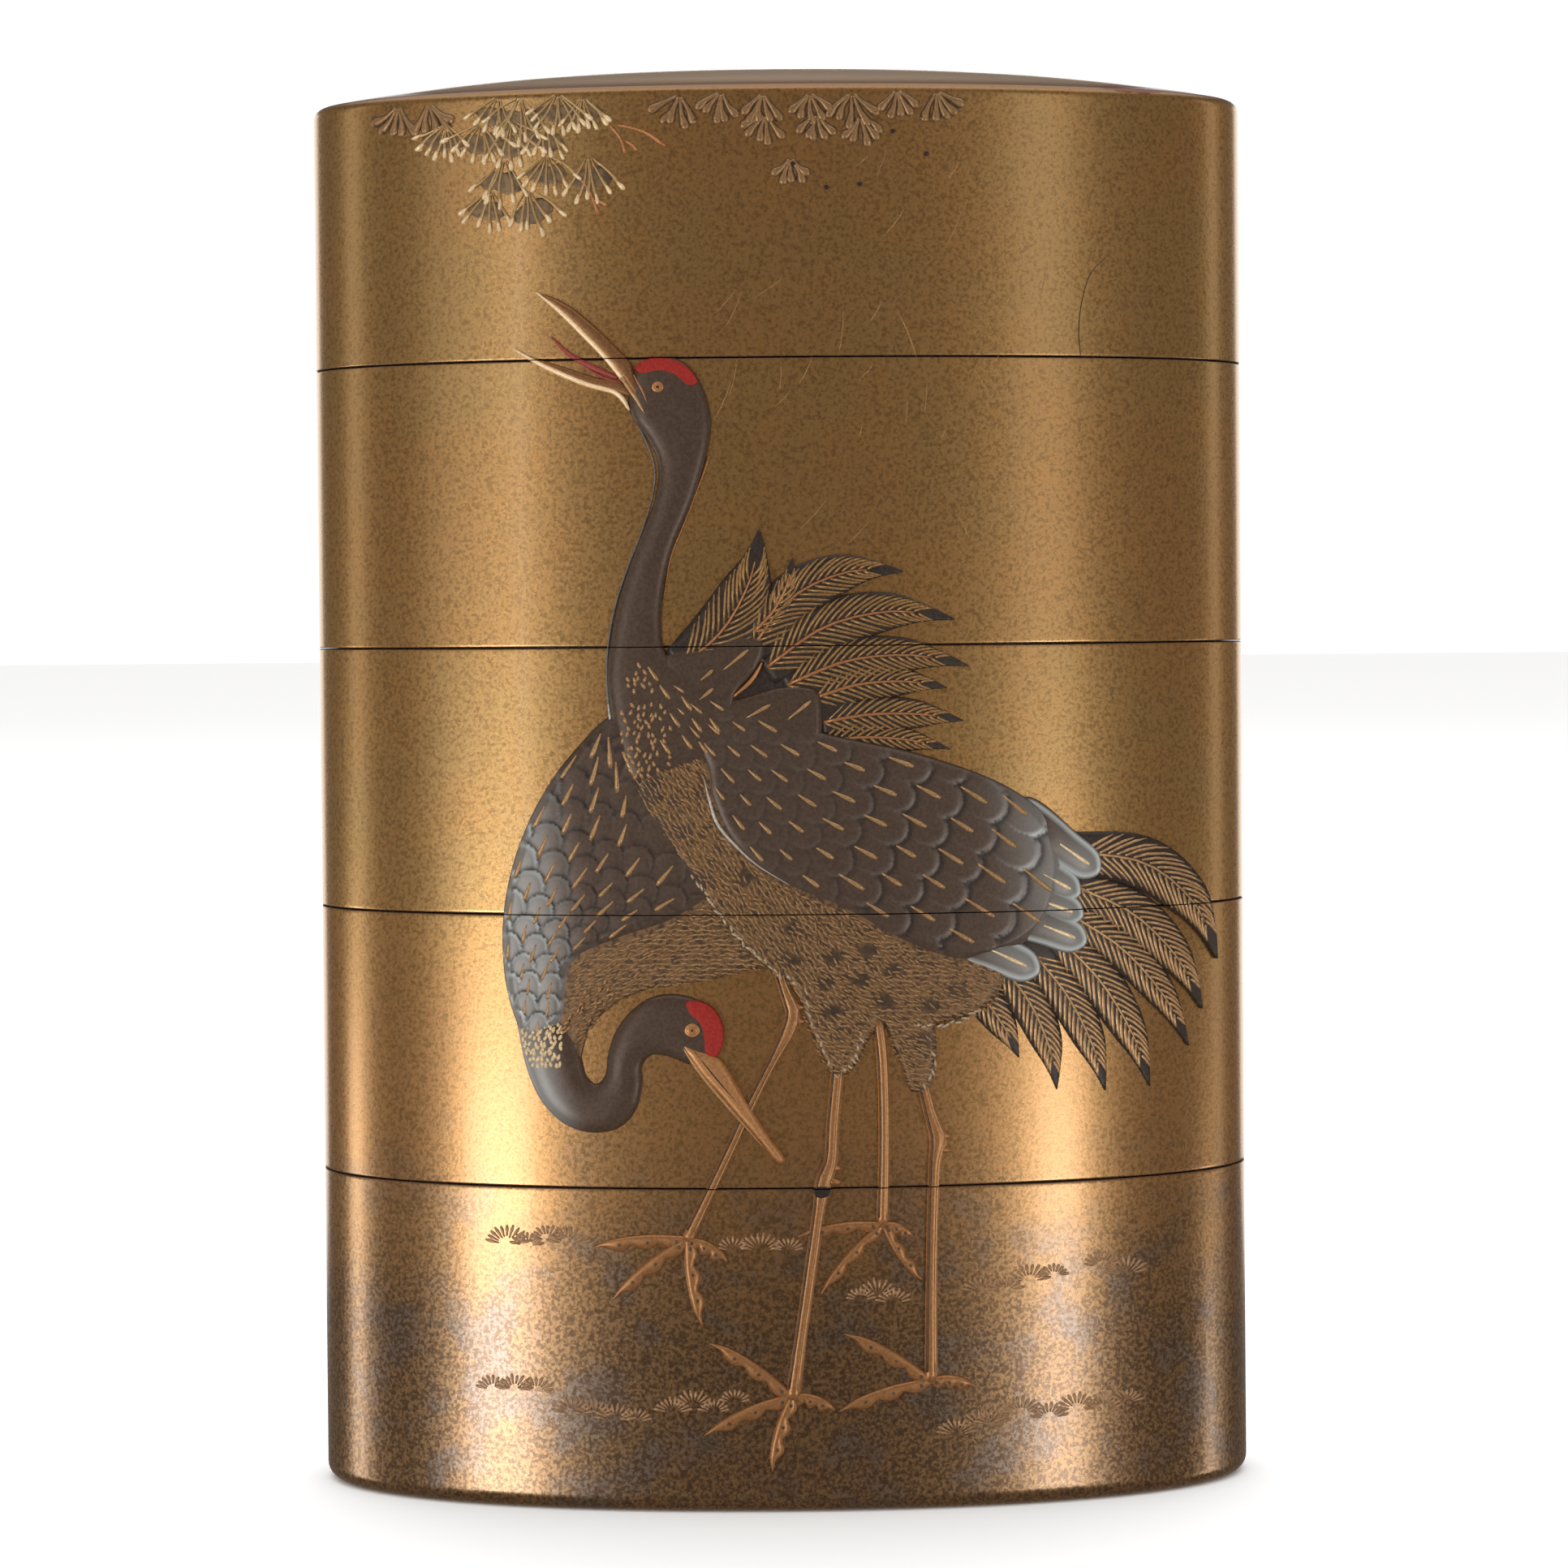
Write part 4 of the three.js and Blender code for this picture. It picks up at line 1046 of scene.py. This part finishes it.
def riser(z, outset=0.0, scale=1.0):
    return plan_ring(RISER_HALF_WIDTH, RISER_HALF_DEPTH, RISER_POWER, z, outset, scale)


def rounded(make, z, radius, vertical, inward=1, first="wall", steps=4):
    """Rings round a soft edge: from the wall to the flat, or the other way round."""
    turns = np.linspace(0, math.pi / 2, steps + 1)
    rings = [make(z + vertical * (radius * math.sin(a) - radius), inward * radius * (math.cos(a) - 1))
             for a in turns]
    return rings if first == "wall" else rings[::-1]


def wall_levels(low, high):
    """Heights of the rings up a plain wall, with one close to each edge so that shading stays flat."""
    return [low + 0.12, *np.linspace(low, high, 7)[1:-1], high - 0.12]


def shell_rings(name, low, high):
    """Rings of one piece from the middle of its underside, over the outside, to its inside floor."""
    is_base, is_lid = name == STACK[0], name == STACK[-1]
    foot = low if is_base else low + SEAM_GAP
    if is_lid:
        shares = np.array([0.18, 0.34, 0.5, 0.66, 0.78, 0.88, 0.95, 1])
        rise = DOME_RISE * (1 - shares**DOME_POWER)
        inside = [riser(high - ROOF + h, SOCKET_FIT, s) for s, h in zip(shares, rise)]
        dome = [outer(high + h, -LID_ROUND, s) for s, h in zip(shares[::-1][1:], rise[::-1][1:])]
        rings = inside + rounded(lambda z, o: riser(z, SOCKET_FIT + o), foot, RIM_ROUND, -1, -1)
        rings += rounded(outer, foot, RIM_ROUND, -1, first="flat")
        rings += [outer(z) for z in wall_levels(foot + RIM_ROUND, high - LID_ROUND)]
        rings += rounded(outer, high, LID_ROUND, 1, steps=6) + dome
        return rings
    head = high - SEAM_GAP
    lip = high + RISER_HEIGHT
    floor = low + (BASE_FLOOR if is_base else SOCKET_DEPTH + FLOOR)
    if is_base:
        rings = rounded(outer, foot, BASE_ROUND, -1, first="flat", steps=8)
    else:
        rings = [riser(low + SOCKET_DEPTH, SOCKET_FIT)]
        rings += rounded(lambda z, o: riser(z, SOCKET_FIT + o), foot, RIM_ROUND, -1, -1)
        rings += rounded(outer, foot, RIM_ROUND, -1, first="flat")
    rings += [outer(z) for z in wall_levels(foot + (BASE_ROUND if is_base else RIM_ROUND), head - RIM_ROUND)]
    rings += rounded(outer, head, RIM_ROUND, 1)
    rings += [riser(head)] + rounded(riser, lip, 0.2, 1)
    rings += rounded(lambda z, o: riser(z, o - RISER_WALL), lip, 0.2, 1, -1, first="flat")
    rings += rounded(lambda z, o: riser(z, o - RISER_WALL), floor, 0.9, -1)
    return rings


def bore_channels(mesh_object, low, high):
    """Cuts the two cord channels through a shell."""
    for x in (-CHANNEL_X, CHANNEL_X):
        bpy.ops.mesh.primitive_cylinder_add(vertices=40, radius=CHANNEL_RADIUS * MM, depth=(high - low + 20) * MM,
                                            location=(x * MM, 0, (low + high) / 2 * MM))
        cutter = bpy.context.object
        cut = mesh_object.modifiers.new("channel", "BOOLEAN")
        cut.operation = "DIFFERENCE"
        cut.solver = "EXACT"
        cut.object = cutter
        evaluated = mesh_object.evaluated_get(bpy.context.evaluated_depsgraph_get())
        bored = bpy.data.meshes.new_from_object(evaluated)
        mesh_object.modifiers.clear()
        mesh_object.data = bored
        bpy.data.objects.remove(cutter)


def shell_mesh(name, low, high):
    """Points (metres) and faces of one piece's shell, with its cord channels."""
    rings = shell_rings(name, low, high)
    points = np.vstack(rings) * MM
    faces = []
    for level in range(len(rings) - 1):
        here, there = level * AROUND, (level + 1) * AROUND
        for i in range(AROUND):
            n = (i + 1) % AROUND
            faces.append((here + i, here + n, there + n, there + i))
    faces.append(tuple(range(AROUND - 1, -1, -1)))
    faces.append(tuple(range((len(rings) - 1) * AROUND, len(rings) * AROUND)))
    mesh = bpy.data.meshes.new("shell")
    mesh.from_pydata(points.tolist(), [], faces)
    solid = bpy.data.objects.new("shell", mesh)
    bpy.context.scene.collection.objects.link(solid)
    bore_channels(solid, low, high)
    mesh = solid.data
    points = np.empty(len(mesh.vertices) * 3)
    mesh.vertices.foreach_get("co", points)
    faces = [tuple(face.vertices) for face in mesh.polygons]
    bpy.data.objects.remove(solid)
    return points.reshape(-1, 3), faces


# ---- Laying the relief on the wall ---------------------------------------------------------------

def lay(points, side):
    """Flat points x, z, h to metres on the curved wall."""
    x, z, h = points.T
    share = np.clip(np.abs(x) / HALF_WIDTH, 0, 0.9995)
    depth = HALF_DEPTH * (1 - share**OUTLINE_POWER) ** (1 / OUTLINE_POWER)
    slope_x = np.sign(x) * share ** (OUTLINE_POWER - 1) / HALF_WIDTH
    slope_y = (depth / HALF_DEPTH) ** (OUTLINE_POWER - 1) / HALF_DEPTH
    size = np.hypot(slope_x, slope_y)
    laid = np.column_stack([x + h * slope_x / size, -depth - h * slope_y / size, z]) * MM
    if side == "back":
        laid[:, :2] *= -1
    return laid


def cut_between(element, low, high):
    """The part of an element between two heights, closed where it is cut, or None."""
    points, faces, finish, tint = element
    z = points[:, 1]
    if z.max() <= low + 1e-4 or z.min() >= high - 1e-4:
        return None
    if z.min() >= low and z.max() <= high:
        return element
    solid = bmesh.new()
    pale = solid.verts.layers.float.new("pale")
    dark = solid.verts.layers.float.new("dark")
    made = [solid.verts.new(p) for p in points]
    for vertex, values in zip(made, tint):
        vertex[pale], vertex[dark] = values
    for face in faces:
        solid.faces.new([made[i] for i in face])
    for height, direction in ((low, -1), (high, 1)):
        everything = solid.verts[:] + solid.edges[:] + solid.faces[:]
        bmesh.ops.bisect_plane(solid, geom=everything, dist=1e-6, plane_co=(0, height, 0),
                               plane_no=(0, direction, 0), clear_outer=True)
        open_edges = [edge for edge in solid.edges if edge.is_boundary]
        if open_edges:
            bmesh.ops.holes_fill(solid, edges=open_edges, sides=0)
    solid.verts.index_update()
    if not solid.faces:
        solid.free()
        return None
    result = (np.array([v.co for v in solid.verts]), [tuple(v.index for v in f.verts) for f in solid.faces],
              finish, np.array([(v[pale], v[dark]) for v in solid.verts]))
    solid.free()
    return result


def build_piece(name, low, high, materials):
    """One piece of the case: its shell and relief as one mesh, in place of its CAD node."""
    points, faces = shell_mesh(name, low, high)
    finishes = []
    for face in faces:
        middle = points[list(face)].mean(0) / MM
        share = (abs(middle[0]) / RISER_HALF_WIDTH) ** RISER_POWER
        share += (abs(middle[1]) / RISER_HALF_DEPTH) ** RISER_POWER
        within = share < (1 + SOCKET_FIT / 10) ** RISER_POWER
        roof = name == STACK[-1] and middle[2] > high - 0.1
        floor = name == STACK[0] and middle[2] < 0.5
        # The rims at each seam take a darker finish: partly grime, partly painted shade between the pieces.
        at_seam = any(abs(middle[2] - seam) < SEAM_GAP + 0.5 * RIM_ROUND for seam in SEAMS[1:-1])
        outside_finish = "seam" if at_seam else "ground"
        finishes.append("inside" if within and not roof and not floor else outside_finish)
    all_points, all_faces, tints = [points], list(faces), [np.zeros((len(points), 2))]
    start = len(points)
    bottom = low + (SEAM_GAP if name != STACK[0] else BASE_ROUND * 0.6)
    top = high - (SEAM_GAP if name != STACK[-1] else LID_ROUND * 0.45)
    for side, elements in drawn.items():
        for element in elements:
            part = cut_between(element, bottom, top)
            if part is None:
                continue
            flat, part_faces, finish, tint = part
            all_points.append(lay(flat, side))
            all_faces += [tuple(i + start for i in face) for face in part_faces]
            finishes += [finish] * len(part_faces)
            tints.append(tint)
            start += len(flat)
    mesh = bpy.data.meshes.new(name + "_lacquered")
    mesh.from_pydata(np.vstack(all_points).tolist(), [], all_faces)
    used = sorted(set(finishes))
    for finish in used:
        mesh.materials.append(materials[finish])
    mesh.polygons.foreach_set("material_index", [used.index(f) for f in finishes])
    for column, attribute in enumerate(("pale", "dark")):
        values = np.ascontiguousarray(np.vstack(tints)[:, column])
        mesh.attributes.new(attribute, "FLOAT", "POINT").data.foreach_set("value", values)
    solid = bmesh.new()
    solid.from_mesh(mesh)
    bmesh.ops.recalc_face_normals(solid, faces=solid.faces)
    solid.to_mesh(mesh)
    solid.free()
    mesh.shade_smooth()
    sharpen(mesh, len(points), (bottom, top))
    piece = bpy.data.objects.new(name + "_lacquered", mesh)
    bpy.context.scene.collection.objects.link(piece)
    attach(piece, "root")
    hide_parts(name)


def sharpen(mesh, shell_count, cuts):
    """Sharp edges at the shell's corners and round the faces where relief is cut at a seam."""
    mesh.set_sharp_from_angle(angle=math.radians(38))
    heights = np.empty(len(mesh.vertices) * 3)
    mesh.vertices.foreach_get("co", heights)
    heights = heights[2::3] / MM
    ends = np.empty(len(mesh.edges) * 2, int)
    mesh.edges.foreach_get("vertices", ends)
    ends = ends.reshape(-1, 2)
    sharp = np.zeros(len(ends), bool)
    marks = mesh.attributes["sharp_edge"].data if "sharp_edge" in mesh.attributes else None
    if marks is not None:
        marks.foreach_get("value", sharp)
        on_shell = (ends < shell_count).all(1)
        at_cut = np.zeros(len(ends), bool)
        for cut in cuts:
            at_cut |= (np.abs(heights[ends] - cut) < 1e-4).all(1)
        marks.foreach_set("value", (sharp & on_shell) | (at_cut & ~on_shell))


# ---- Materials -----------------------------------------------------------------------------------

class Finish:
    """A Principled material with short helpers for its procedural nodes. Patterns are in millimetres."""

    def __init__(self, name, roughness, metallic, coat=0.0, coat_roughness=0.2):
        self.material = bpy.data.materials.new(name)
        self.material.use_nodes = True
        self.nodes, self.links = self.material.node_tree.nodes, self.material.node_tree.links
        self.shader = self.nodes["Principled BSDF"]
        self.shader.inputs["Roughness"].default_value = roughness
        self.shader.inputs["Metallic"].default_value = metallic
        self.shader.inputs["Coat Weight"].default_value = coat
        self.shader.inputs["Coat Roughness"].default_value = coat_roughness
        place = self.nodes.new("ShaderNodeTexCoord").outputs["Object"]
        scale = self.nodes.new("ShaderNodeVectorMath")
        scale.operation = "SCALE"
        scale.inputs["Scale"].default_value = 1 / MM
        self.links.new(place, scale.inputs[0])
        self.place = scale.outputs[0]

    def put(self, socket, value):
        if isinstance(value, bpy.types.NodeSocket):
            self.links.new(value, socket)
        else:
            socket.default_value = value

    def noise(self, scale, detail=2.0, roughness=0.5, offset=(0, 0, 0)):
        mapping = self.nodes.new("ShaderNodeMapping")
        mapping.inputs["Location"].default_value = offset
        node = self.nodes.new("ShaderNodeTexNoise")
        node.inputs["Scale"].default_value = scale
        node.inputs["Detail"].default_value = detail
        node.inputs["Roughness"].default_value = roughness
        self.links.new(self.place, mapping.inputs["Vector"])
        self.links.new(mapping.outputs[0], node.inputs["Vector"])
        return node.outputs["Fac"]

    def math(self, operation, a, b=0.0):
        node = self.nodes.new("ShaderNodeMath")
        node.operation = operation
        self.put(node.inputs[0], a)
        self.put(node.inputs[1], b)
        return node.outputs[0]

    def ramp(self, value, low, high, to_low=0.0, to_high=1.0):
        node = self.nodes.new("ShaderNodeMapRange")
        node.interpolation_type = "SMOOTHSTEP"
        self.put(node.inputs["Value"], value)
        self.put(node.inputs["From Min"], low)
        self.put(node.inputs["From Max"], high)
        node.inputs["To Min"].default_value = to_low
        node.inputs["To Max"].default_value = to_high
        return node.outputs["Result"]

    def mix(self, share, a, b):
        node = self.nodes.new("ShaderNodeMix")
        node.data_type = "RGBA"
        self.put(node.inputs[0], share)
        self.put(node.inputs[6], (*a, 1) if isinstance(a, tuple) else a)
        self.put(node.inputs[7], (*b, 1) if isinstance(b, tuple) else b)
        return node.outputs[2]

    def axis(self, letter):
        if not hasattr(self, "split"):
            self.split = self.nodes.new("ShaderNodeSeparateXYZ")
            self.links.new(self.place, self.split.inputs[0])
        return self.split.outputs[letter]

    def attribute(self, name):
        node = self.nodes.new("ShaderNodeAttribute")
        node.attribute_name = name
        return node.outputs["Fac"]

    def colour(self, value):
        self.put(self.shader.inputs["Base Color"], value)

    def bump(self, value, distance, strength=1.0):
        node = self.nodes.new("ShaderNodeBump")
        node.inputs["Strength"].default_value = strength
        node.inputs["Distance"].default_value = distance * MM
        self.links.new(value, node.inputs["Height"])
        self.links.new(node.outputs[0], self.shader.inputs["Normal"])

    def roughness(self, value):
        self.links.new(value, self.shader.inputs["Roughness"])


def ground():
    """Gold powder under clear lacquer: a soft, even speckle that thins out and greys towards the foot."""
    f = Finish("gold_ground", 0.26, 0.95, coat_roughness=0.12)
    grains = f.noise(4.4, 3, 0.6)
    fine = f.noise(8.5, 2, 0.6, (7, 3, 1))
    clouds = f.noise(0.09, 2, 0.5, (31, 0, 4))
    drift = f.noise(0.26, 3, 0.6, (0, 9, 14))
    warm = f.mix(f.ramp(clouds, 0.4, 0.62), (0.53, 0.33, 0.13), (0.56, 0.32, 0.125))
    warm = f.mix(f.ramp(drift, 0.46, 0.7, 0, 0.6), warm, (0.6, 0.33, 0.12))
    warm = f.mix(f.ramp(f.math("ADD", f.axis("Z"), f.math("MULTIPLY", drift, 12)), 44, 32, 0, 0.7), warm,
                 (0.53, 0.28, 0.12))
    sparse = f.ramp(f.math("ADD", f.axis("Z"), f.math("MULTIPLY", f.math("SUBTRACT", drift, 0.5), 12)), 25, 9)
    low_gold = f.mix(f.ramp(drift, 0.36, 0.52), (0.27, 0.21, 0.17), (0.37, 0.225, 0.115))
    gold = f.mix(sparse, warm, low_gold)
    dark = f.mix(sparse, (0.36, 0.21, 0.08), (0.15, 0.092, 0.055))
    shift = f.math("MULTIPLY", sparse, 0.06)
    speck = f.ramp(f.math("SUBTRACT", grains, shift), 0.32, 0.56)
    base = f.mix(speck, dark, gold)
    base = f.mix(f.ramp(fine, 0.58, 0.72, 0, 0.35), base, (0.7, 0.46, 0.22))
    base = f.mix(f.ramp(fine, 0.4, 0.3, 0, 0.4), base, (0.14, 0.08, 0.045))
    edge = f.ramp(f.math("ADD", f.axis("Z"), f.math("MULTIPLY", grains, 0.3)), 85.5, 85.95, 0, 0.9)
    base = f.mix(edge, base, (0.19, 0.1, 0.055))
    base = f.mix(f.ramp(f.axis("Z"), 86.0, 86.5, 0, 0.4), base, (0.72, 0.58, 0.42))
    worn = worn_rim(f)
    f.colour(f.mix(worn, base, (0.16, 0.045, 0.022)))
    rough = f.math("ADD", 0.2, f.math("MULTIPLY", grains, 0.14))
    f.roughness(f.math("ADD", rough, f.math("MULTIPLY", edge, 0.12)))
    f.links.new(f.ramp(f.axis("Z"), 85.9, 86.4, 0.25, 1), f.shader.inputs["Coat Weight"])
    f.bump(grains, 0.01, 0.5)
    return f.material


def worn_rim(f):
    """A worn patch on the lid's front edge, to the right."""
    across = f.math("DIVIDE", f.math("SUBTRACT", f.axis("X"), 21.7), 2.3)
    up = f.math("DIVIDE", f.math("SUBTRACT", f.axis("Z"), 85.95), 0.42)
    away = f.math("SQRT", f.math("ADD", f.math("MULTIPLY", across, across), f.math("MULTIPLY", up, up)))
    edge = f.math("ADD", away, f.math("MULTIPLY", f.math("SUBTRACT", f.noise(1.6, 3), 0.5), 0.9))
    front = f.math("LESS_THAN", f.axis("Y"), 0.0)
    return f.math("MULTIPLY", f.ramp(edge, 1.05, 0.8), front)


def inside():
    """Reddish-brown lacquer with sprinkled gold flakes."""
    f = Finish("inside_lacquer", 0.3, 0.15, coat=0.4, coat_roughness=0.12)
    flakes = f.ramp(f.noise(6.5, 1, 0.4), 0.6, 0.66)
    f.colour(f.mix(flakes, (0.11, 0.032, 0.014), (0.55, 0.3, 0.1)))
    f.bump(flakes, 0.01, 0.4)
    return f.material


def powder(name, light, shade, roughness=0.34, metallic=0.9, scale=6.0, coat=0.1, gloss=0.5):
    """Sprinkled metal on raised lacquer: two close tones and a fine grain."""
    f = Finish(name, roughness, metallic, coat=coat, coat_roughness=0.25)
    f.shader.inputs["Specular IOR Level"].default_value = gloss
    grain = f.noise(scale, 3, 0.6)
    f.colour(f.mix(f.ramp(grain, 0.36, 0.62), shade, light))
    f.bump(grain, 0.008, 0.5)
    return f.material


def feather_lacquer():
    """Grey-brown lacquer, paler along each feather's free edge, where the pale attribute also carries painted
    highlight and painted reflection; the dark attribute is painted shade.
    """
    f = Finish("feather_lacquer", 0.38, 0.4, coat=0.08, coat_roughness=0.2)
    grain = f.noise(5, 3, 0.6)
    tone = f.mix(f.ramp(grain, 0.35, 0.65), (0.056, 0.032, 0.02), (0.076, 0.046, 0.029))
    # Painted highlight and painted reflection from the pale attribute, with some of the free edges' own paleness.
    tone = f.mix(f.attribute("pale"), tone, (0.44, 0.47, 0.46))
    # Painted shade under higher feathers, from the dark attribute; it also darkens the areas' outer edges.
    f.colour(f.mix(f.math("MULTIPLY", f.attribute("dark"), 0.8), tone, (0.012, 0.009, 0.008)))
    f.bump(f.noise(7, 2), 0.006, 0.5)
    return f.material


def belly():
    """Gold-brown lacquer under the down, with dark spots."""
    f = Finish("belly_lacquer", 0.42, 0.6, coat=0.08, coat_roughness=0.25)
    grain = f.noise(3.2, 3, 0.6)
    tone = f.mix(f.ramp(grain, 0.36, 0.62), (0.07, 0.044, 0.027), (0.21, 0.115, 0.05))
    f.colour(f.mix(f.math("MULTIPLY", f.attribute("dark"), 0.8), tone, (0.05, 0.034, 0.025)))
    f.bump(grain, 0.008, 0.5)
    return f.material


def make_materials():
    return {
        "ground": ground(),
        "inside": inside(),
        "feather": feather_lacquer(),
        "belly": belly(),
        "down": powder("down_gold", (0.46, 0.28, 0.14), (0.32, 0.18, 0.08), 0.4, 0.75),
        "gold_line": powder("gold_line", (0.54, 0.33, 0.16), (0.42, 0.24, 0.105), 0.36, 0.75),
        "bead": powder("bead_gold", (0.8, 0.62, 0.38), (0.62, 0.45, 0.25), 0.3, 0.5),
        # Painted highlights along the edges of the near wing and neck
        "pale_line": powder("pale_line", (0.5, 0.46, 0.4), (0.34, 0.3, 0.25), 0.34, 0.5),
        "grey_line": powder("grey_line", (0.16, 0.15, 0.14), (0.1, 0.09, 0.08), 0.45, 0.4),
        "fringe": powder("fringe_gold", (0.5, 0.4, 0.28), (0.34, 0.25, 0.16), 0.34, 0.5),
        "hollow": powder("hollow_lacquer", (0.24, 0.155, 0.08), (0.12, 0.08, 0.05), 0.4, 0.7, scale=2.5),
        "barb": powder("barb_gold", (0.52, 0.32, 0.14), (0.36, 0.21, 0.085), 0.36, 0.85),
        "tail_barb": powder("tail_gold", (0.72, 0.47, 0.25), (0.54, 0.33, 0.16), 0.34, 0.85),
        "blade": powder("blade_lacquer", (0.034, 0.02, 0.012), (0.016, 0.01, 0.007), 0.42, 0.2),
        "leg": powder("leg_gold", (0.46, 0.23, 0.095), (0.36, 0.165, 0.065), 0.38, 0.8),
        "beak": powder("beak_gold", (0.85, 0.64, 0.4), (0.72, 0.5, 0.28), 0.3, 0.45),
        "horn": powder("horn_gold", (0.56, 0.28, 0.115), (0.44, 0.205, 0.08), 0.38, 0.75),
        "wedge": powder("wedge_gold", (0.3, 0.145, 0.055), (0.22, 0.1, 0.038), 0.38, 0.75),
        "tongue": powder("tongue_red", (0.26, 0.035, 0.025), (0.18, 0.024, 0.018), 0.45, 0.1, coat=0.0),
        "red": powder("crown_red", (0.235, 0.011, 0.006), (0.18, 0.007, 0.004), 0.5, 0.0, coat=0.0, gloss=0.2),
        "needle": powder("needle_gold", (0.62, 0.44, 0.22), (0.5, 0.33, 0.15), 0.32, 0.85),
        "dim_needle": powder("dim_needle_gold", (0.42, 0.25, 0.12), (0.32, 0.185, 0.085), 0.38, 0.8),
        "shadow": powder("shadow_lacquer", (0.13, 0.085, 0.05), (0.07, 0.046, 0.03), 0.42, 0.6),
        "sprig": powder("sprig_gold", (0.52, 0.33, 0.19), (0.4, 0.24, 0.13), 0.36, 0.8),
        "copper_line": powder("copper_line", (0.62, 0.29, 0.13), (0.5, 0.22, 0.09), 0.36, 0.8),
        "scratch": powder("scratch_gold", (0.6, 0.36, 0.16), (0.5, 0.3, 0.13), 0.34, 0.9),
        # Darker rims at the seams: partly grime, partly painted shade
        "seam": powder("seam_lacquer", (0.12, 0.06, 0.03), (0.06, 0.03, 0.016), 0.5, 0.4),
        "dark_line": powder("dark_line", (0.02, 0.012, 0.01), (0.012, 0.008, 0.007), 0.4, 0.1),
        "bark": powder("bark_lacquer", (0.3, 0.16, 0.06), (0.1, 0.055, 0.028), 0.42, 0.7, scale=1.6),
        "bark_ridge": powder("bark_gold", (0.6, 0.36, 0.15), (0.4, 0.22, 0.09), 0.36, 0.85),
    }


# ---- Camera, light and floor ---------------------------------------------------------------------

def area(name, place, target, width, height, power, colour=(1, 1, 1)):
    data = bpy.data.lights.new(name, "AREA")
    data.shape = "RECTANGLE"
    data.size, data.size_y = width, height
    data.energy = power
    data.color = colour
    light = bpy.data.objects.new(name, data)
    bpy.context.scene.collection.objects.link(light)
    light.location = place
    light.rotation_mode = "QUATERNION"
    light.rotation_quaternion = (Vector(target) - Vector(place)).to_track_quat("-Z", "Y")
    light.visible_camera = False


def around(azimuth, distance, height):
    """A place round the object: azimuth in degrees from the front, positive to the right."""
    a = math.radians(azimuth)
    return (distance * math.sin(a), -distance * math.cos(a), height)


def set_stage():
    scene = bpy.context.scene
    camera = bpy.data.objects.new("camera", bpy.data.cameras.new("camera"))
    scene.collection.objects.link(camera)
    camera.location = CAMERA_PLACE
    camera.rotation_euler = (math.radians(90) + math.radians(CAMERA_PITCH), math.radians(CAMERA_ROLL), 0)
    camera.data.lens = CAMERA_LENS
    camera.data.sensor_width = CAMERA_SENSOR
    camera.data.shift_x, camera.data.shift_y = CAMERA_SHIFT
    camera.data.clip_start, camera.data.clip_end = 0.01, 20
    scene.camera = camera

    bpy.ops.mesh.primitive_plane_add(size=8, location=(0, 0, 0))
    floor = bpy.context.object
    floor.name = "floor"
    paper = Finish("floor_paper", 0.9, 0.0)
    paper.colour((0.96, 0.96, 0.955, 1))
    floor.data.materials.append(paper.material)
    floor.visible_glossy = False
    floor.visible_shadow = False

    world = bpy.data.worlds.new("studio")
    scene.world = world
    world.use_nodes = True
    nodes, links = world.node_tree.nodes, world.node_tree.links
    room = nodes["Background"]
    room.inputs["Color"].default_value = (0.2, 0.16, 0.125, 1)
    pale = nodes.new("ShaderNodeBackground")
    pale.inputs["Color"].default_value = (1.06, 1.06, 1.06, 1)
    path = nodes.new("ShaderNodeLightPath")
    both = nodes.new("ShaderNodeMixShader")
    links.new(path.outputs["Is Glossy Ray"], both.inputs[0])
    links.new(pale.outputs[0], both.inputs[1])
    links.new(room.outputs[0], both.inputs[2])
    links.new(both.outputs[0], nodes["World Output"].inputs["Surface"])
    scene.view_settings.view_transform = "Standard"

    middle = (0, 0, 0.045)
    area("left_soft", around(-43.5, 0.6, 0.07), middle, 0.21, 0.5, 0.125)
    area("left_strip", around(-33, 0.55, 0.04), middle, 0.014, 0.6, 0.16)
    area("left_low", around(-39.5, 0.5, -0.095), middle, 0.115, 0.13, 0.38)
    area("right_soft", around(34.5, 0.6, 0.07), middle, 0.11, 0.6, 0.165)
    area("right_low", around(36.5, 0.5, -0.095), middle, 0.08, 0.13, 0.22)
    area("left_side", around(-88, 0.6, 0.05), middle, 0.12, 0.7, 0.17)
    area("left_side_low", around(-94, 0.5, -0.1), middle, 0.1, 0.16, 0.17)
    area("right_side", around(99, 0.6, 0.05), middle, 0.11, 0.7, 0.14)
    area("right_side_low", around(90, 0.5, -0.15), middle, 0.07, 0.16, 0.12)
    area("overhead", (0, 0.15, 0.9), (0, 0, 0), 1.2, 1.2, 5)
    area("backdrop", (0, 0.9, 0.1), middle, 1.5, 0.5, 3.2)


# ---- Build ---------------------------------------------------------------------------------------

set_stage()
plumes()
far_crane()
near_down()
near_wing()
neck_and_head()
legs()
pine_and_plants()
back_tree()
wear()
finishes = make_materials()
for piece_name, piece_low, piece_high in zip(STACK, SEAMS, SEAMS[1:]):
    build_piece(piece_name, piece_low, piece_high, finishes)
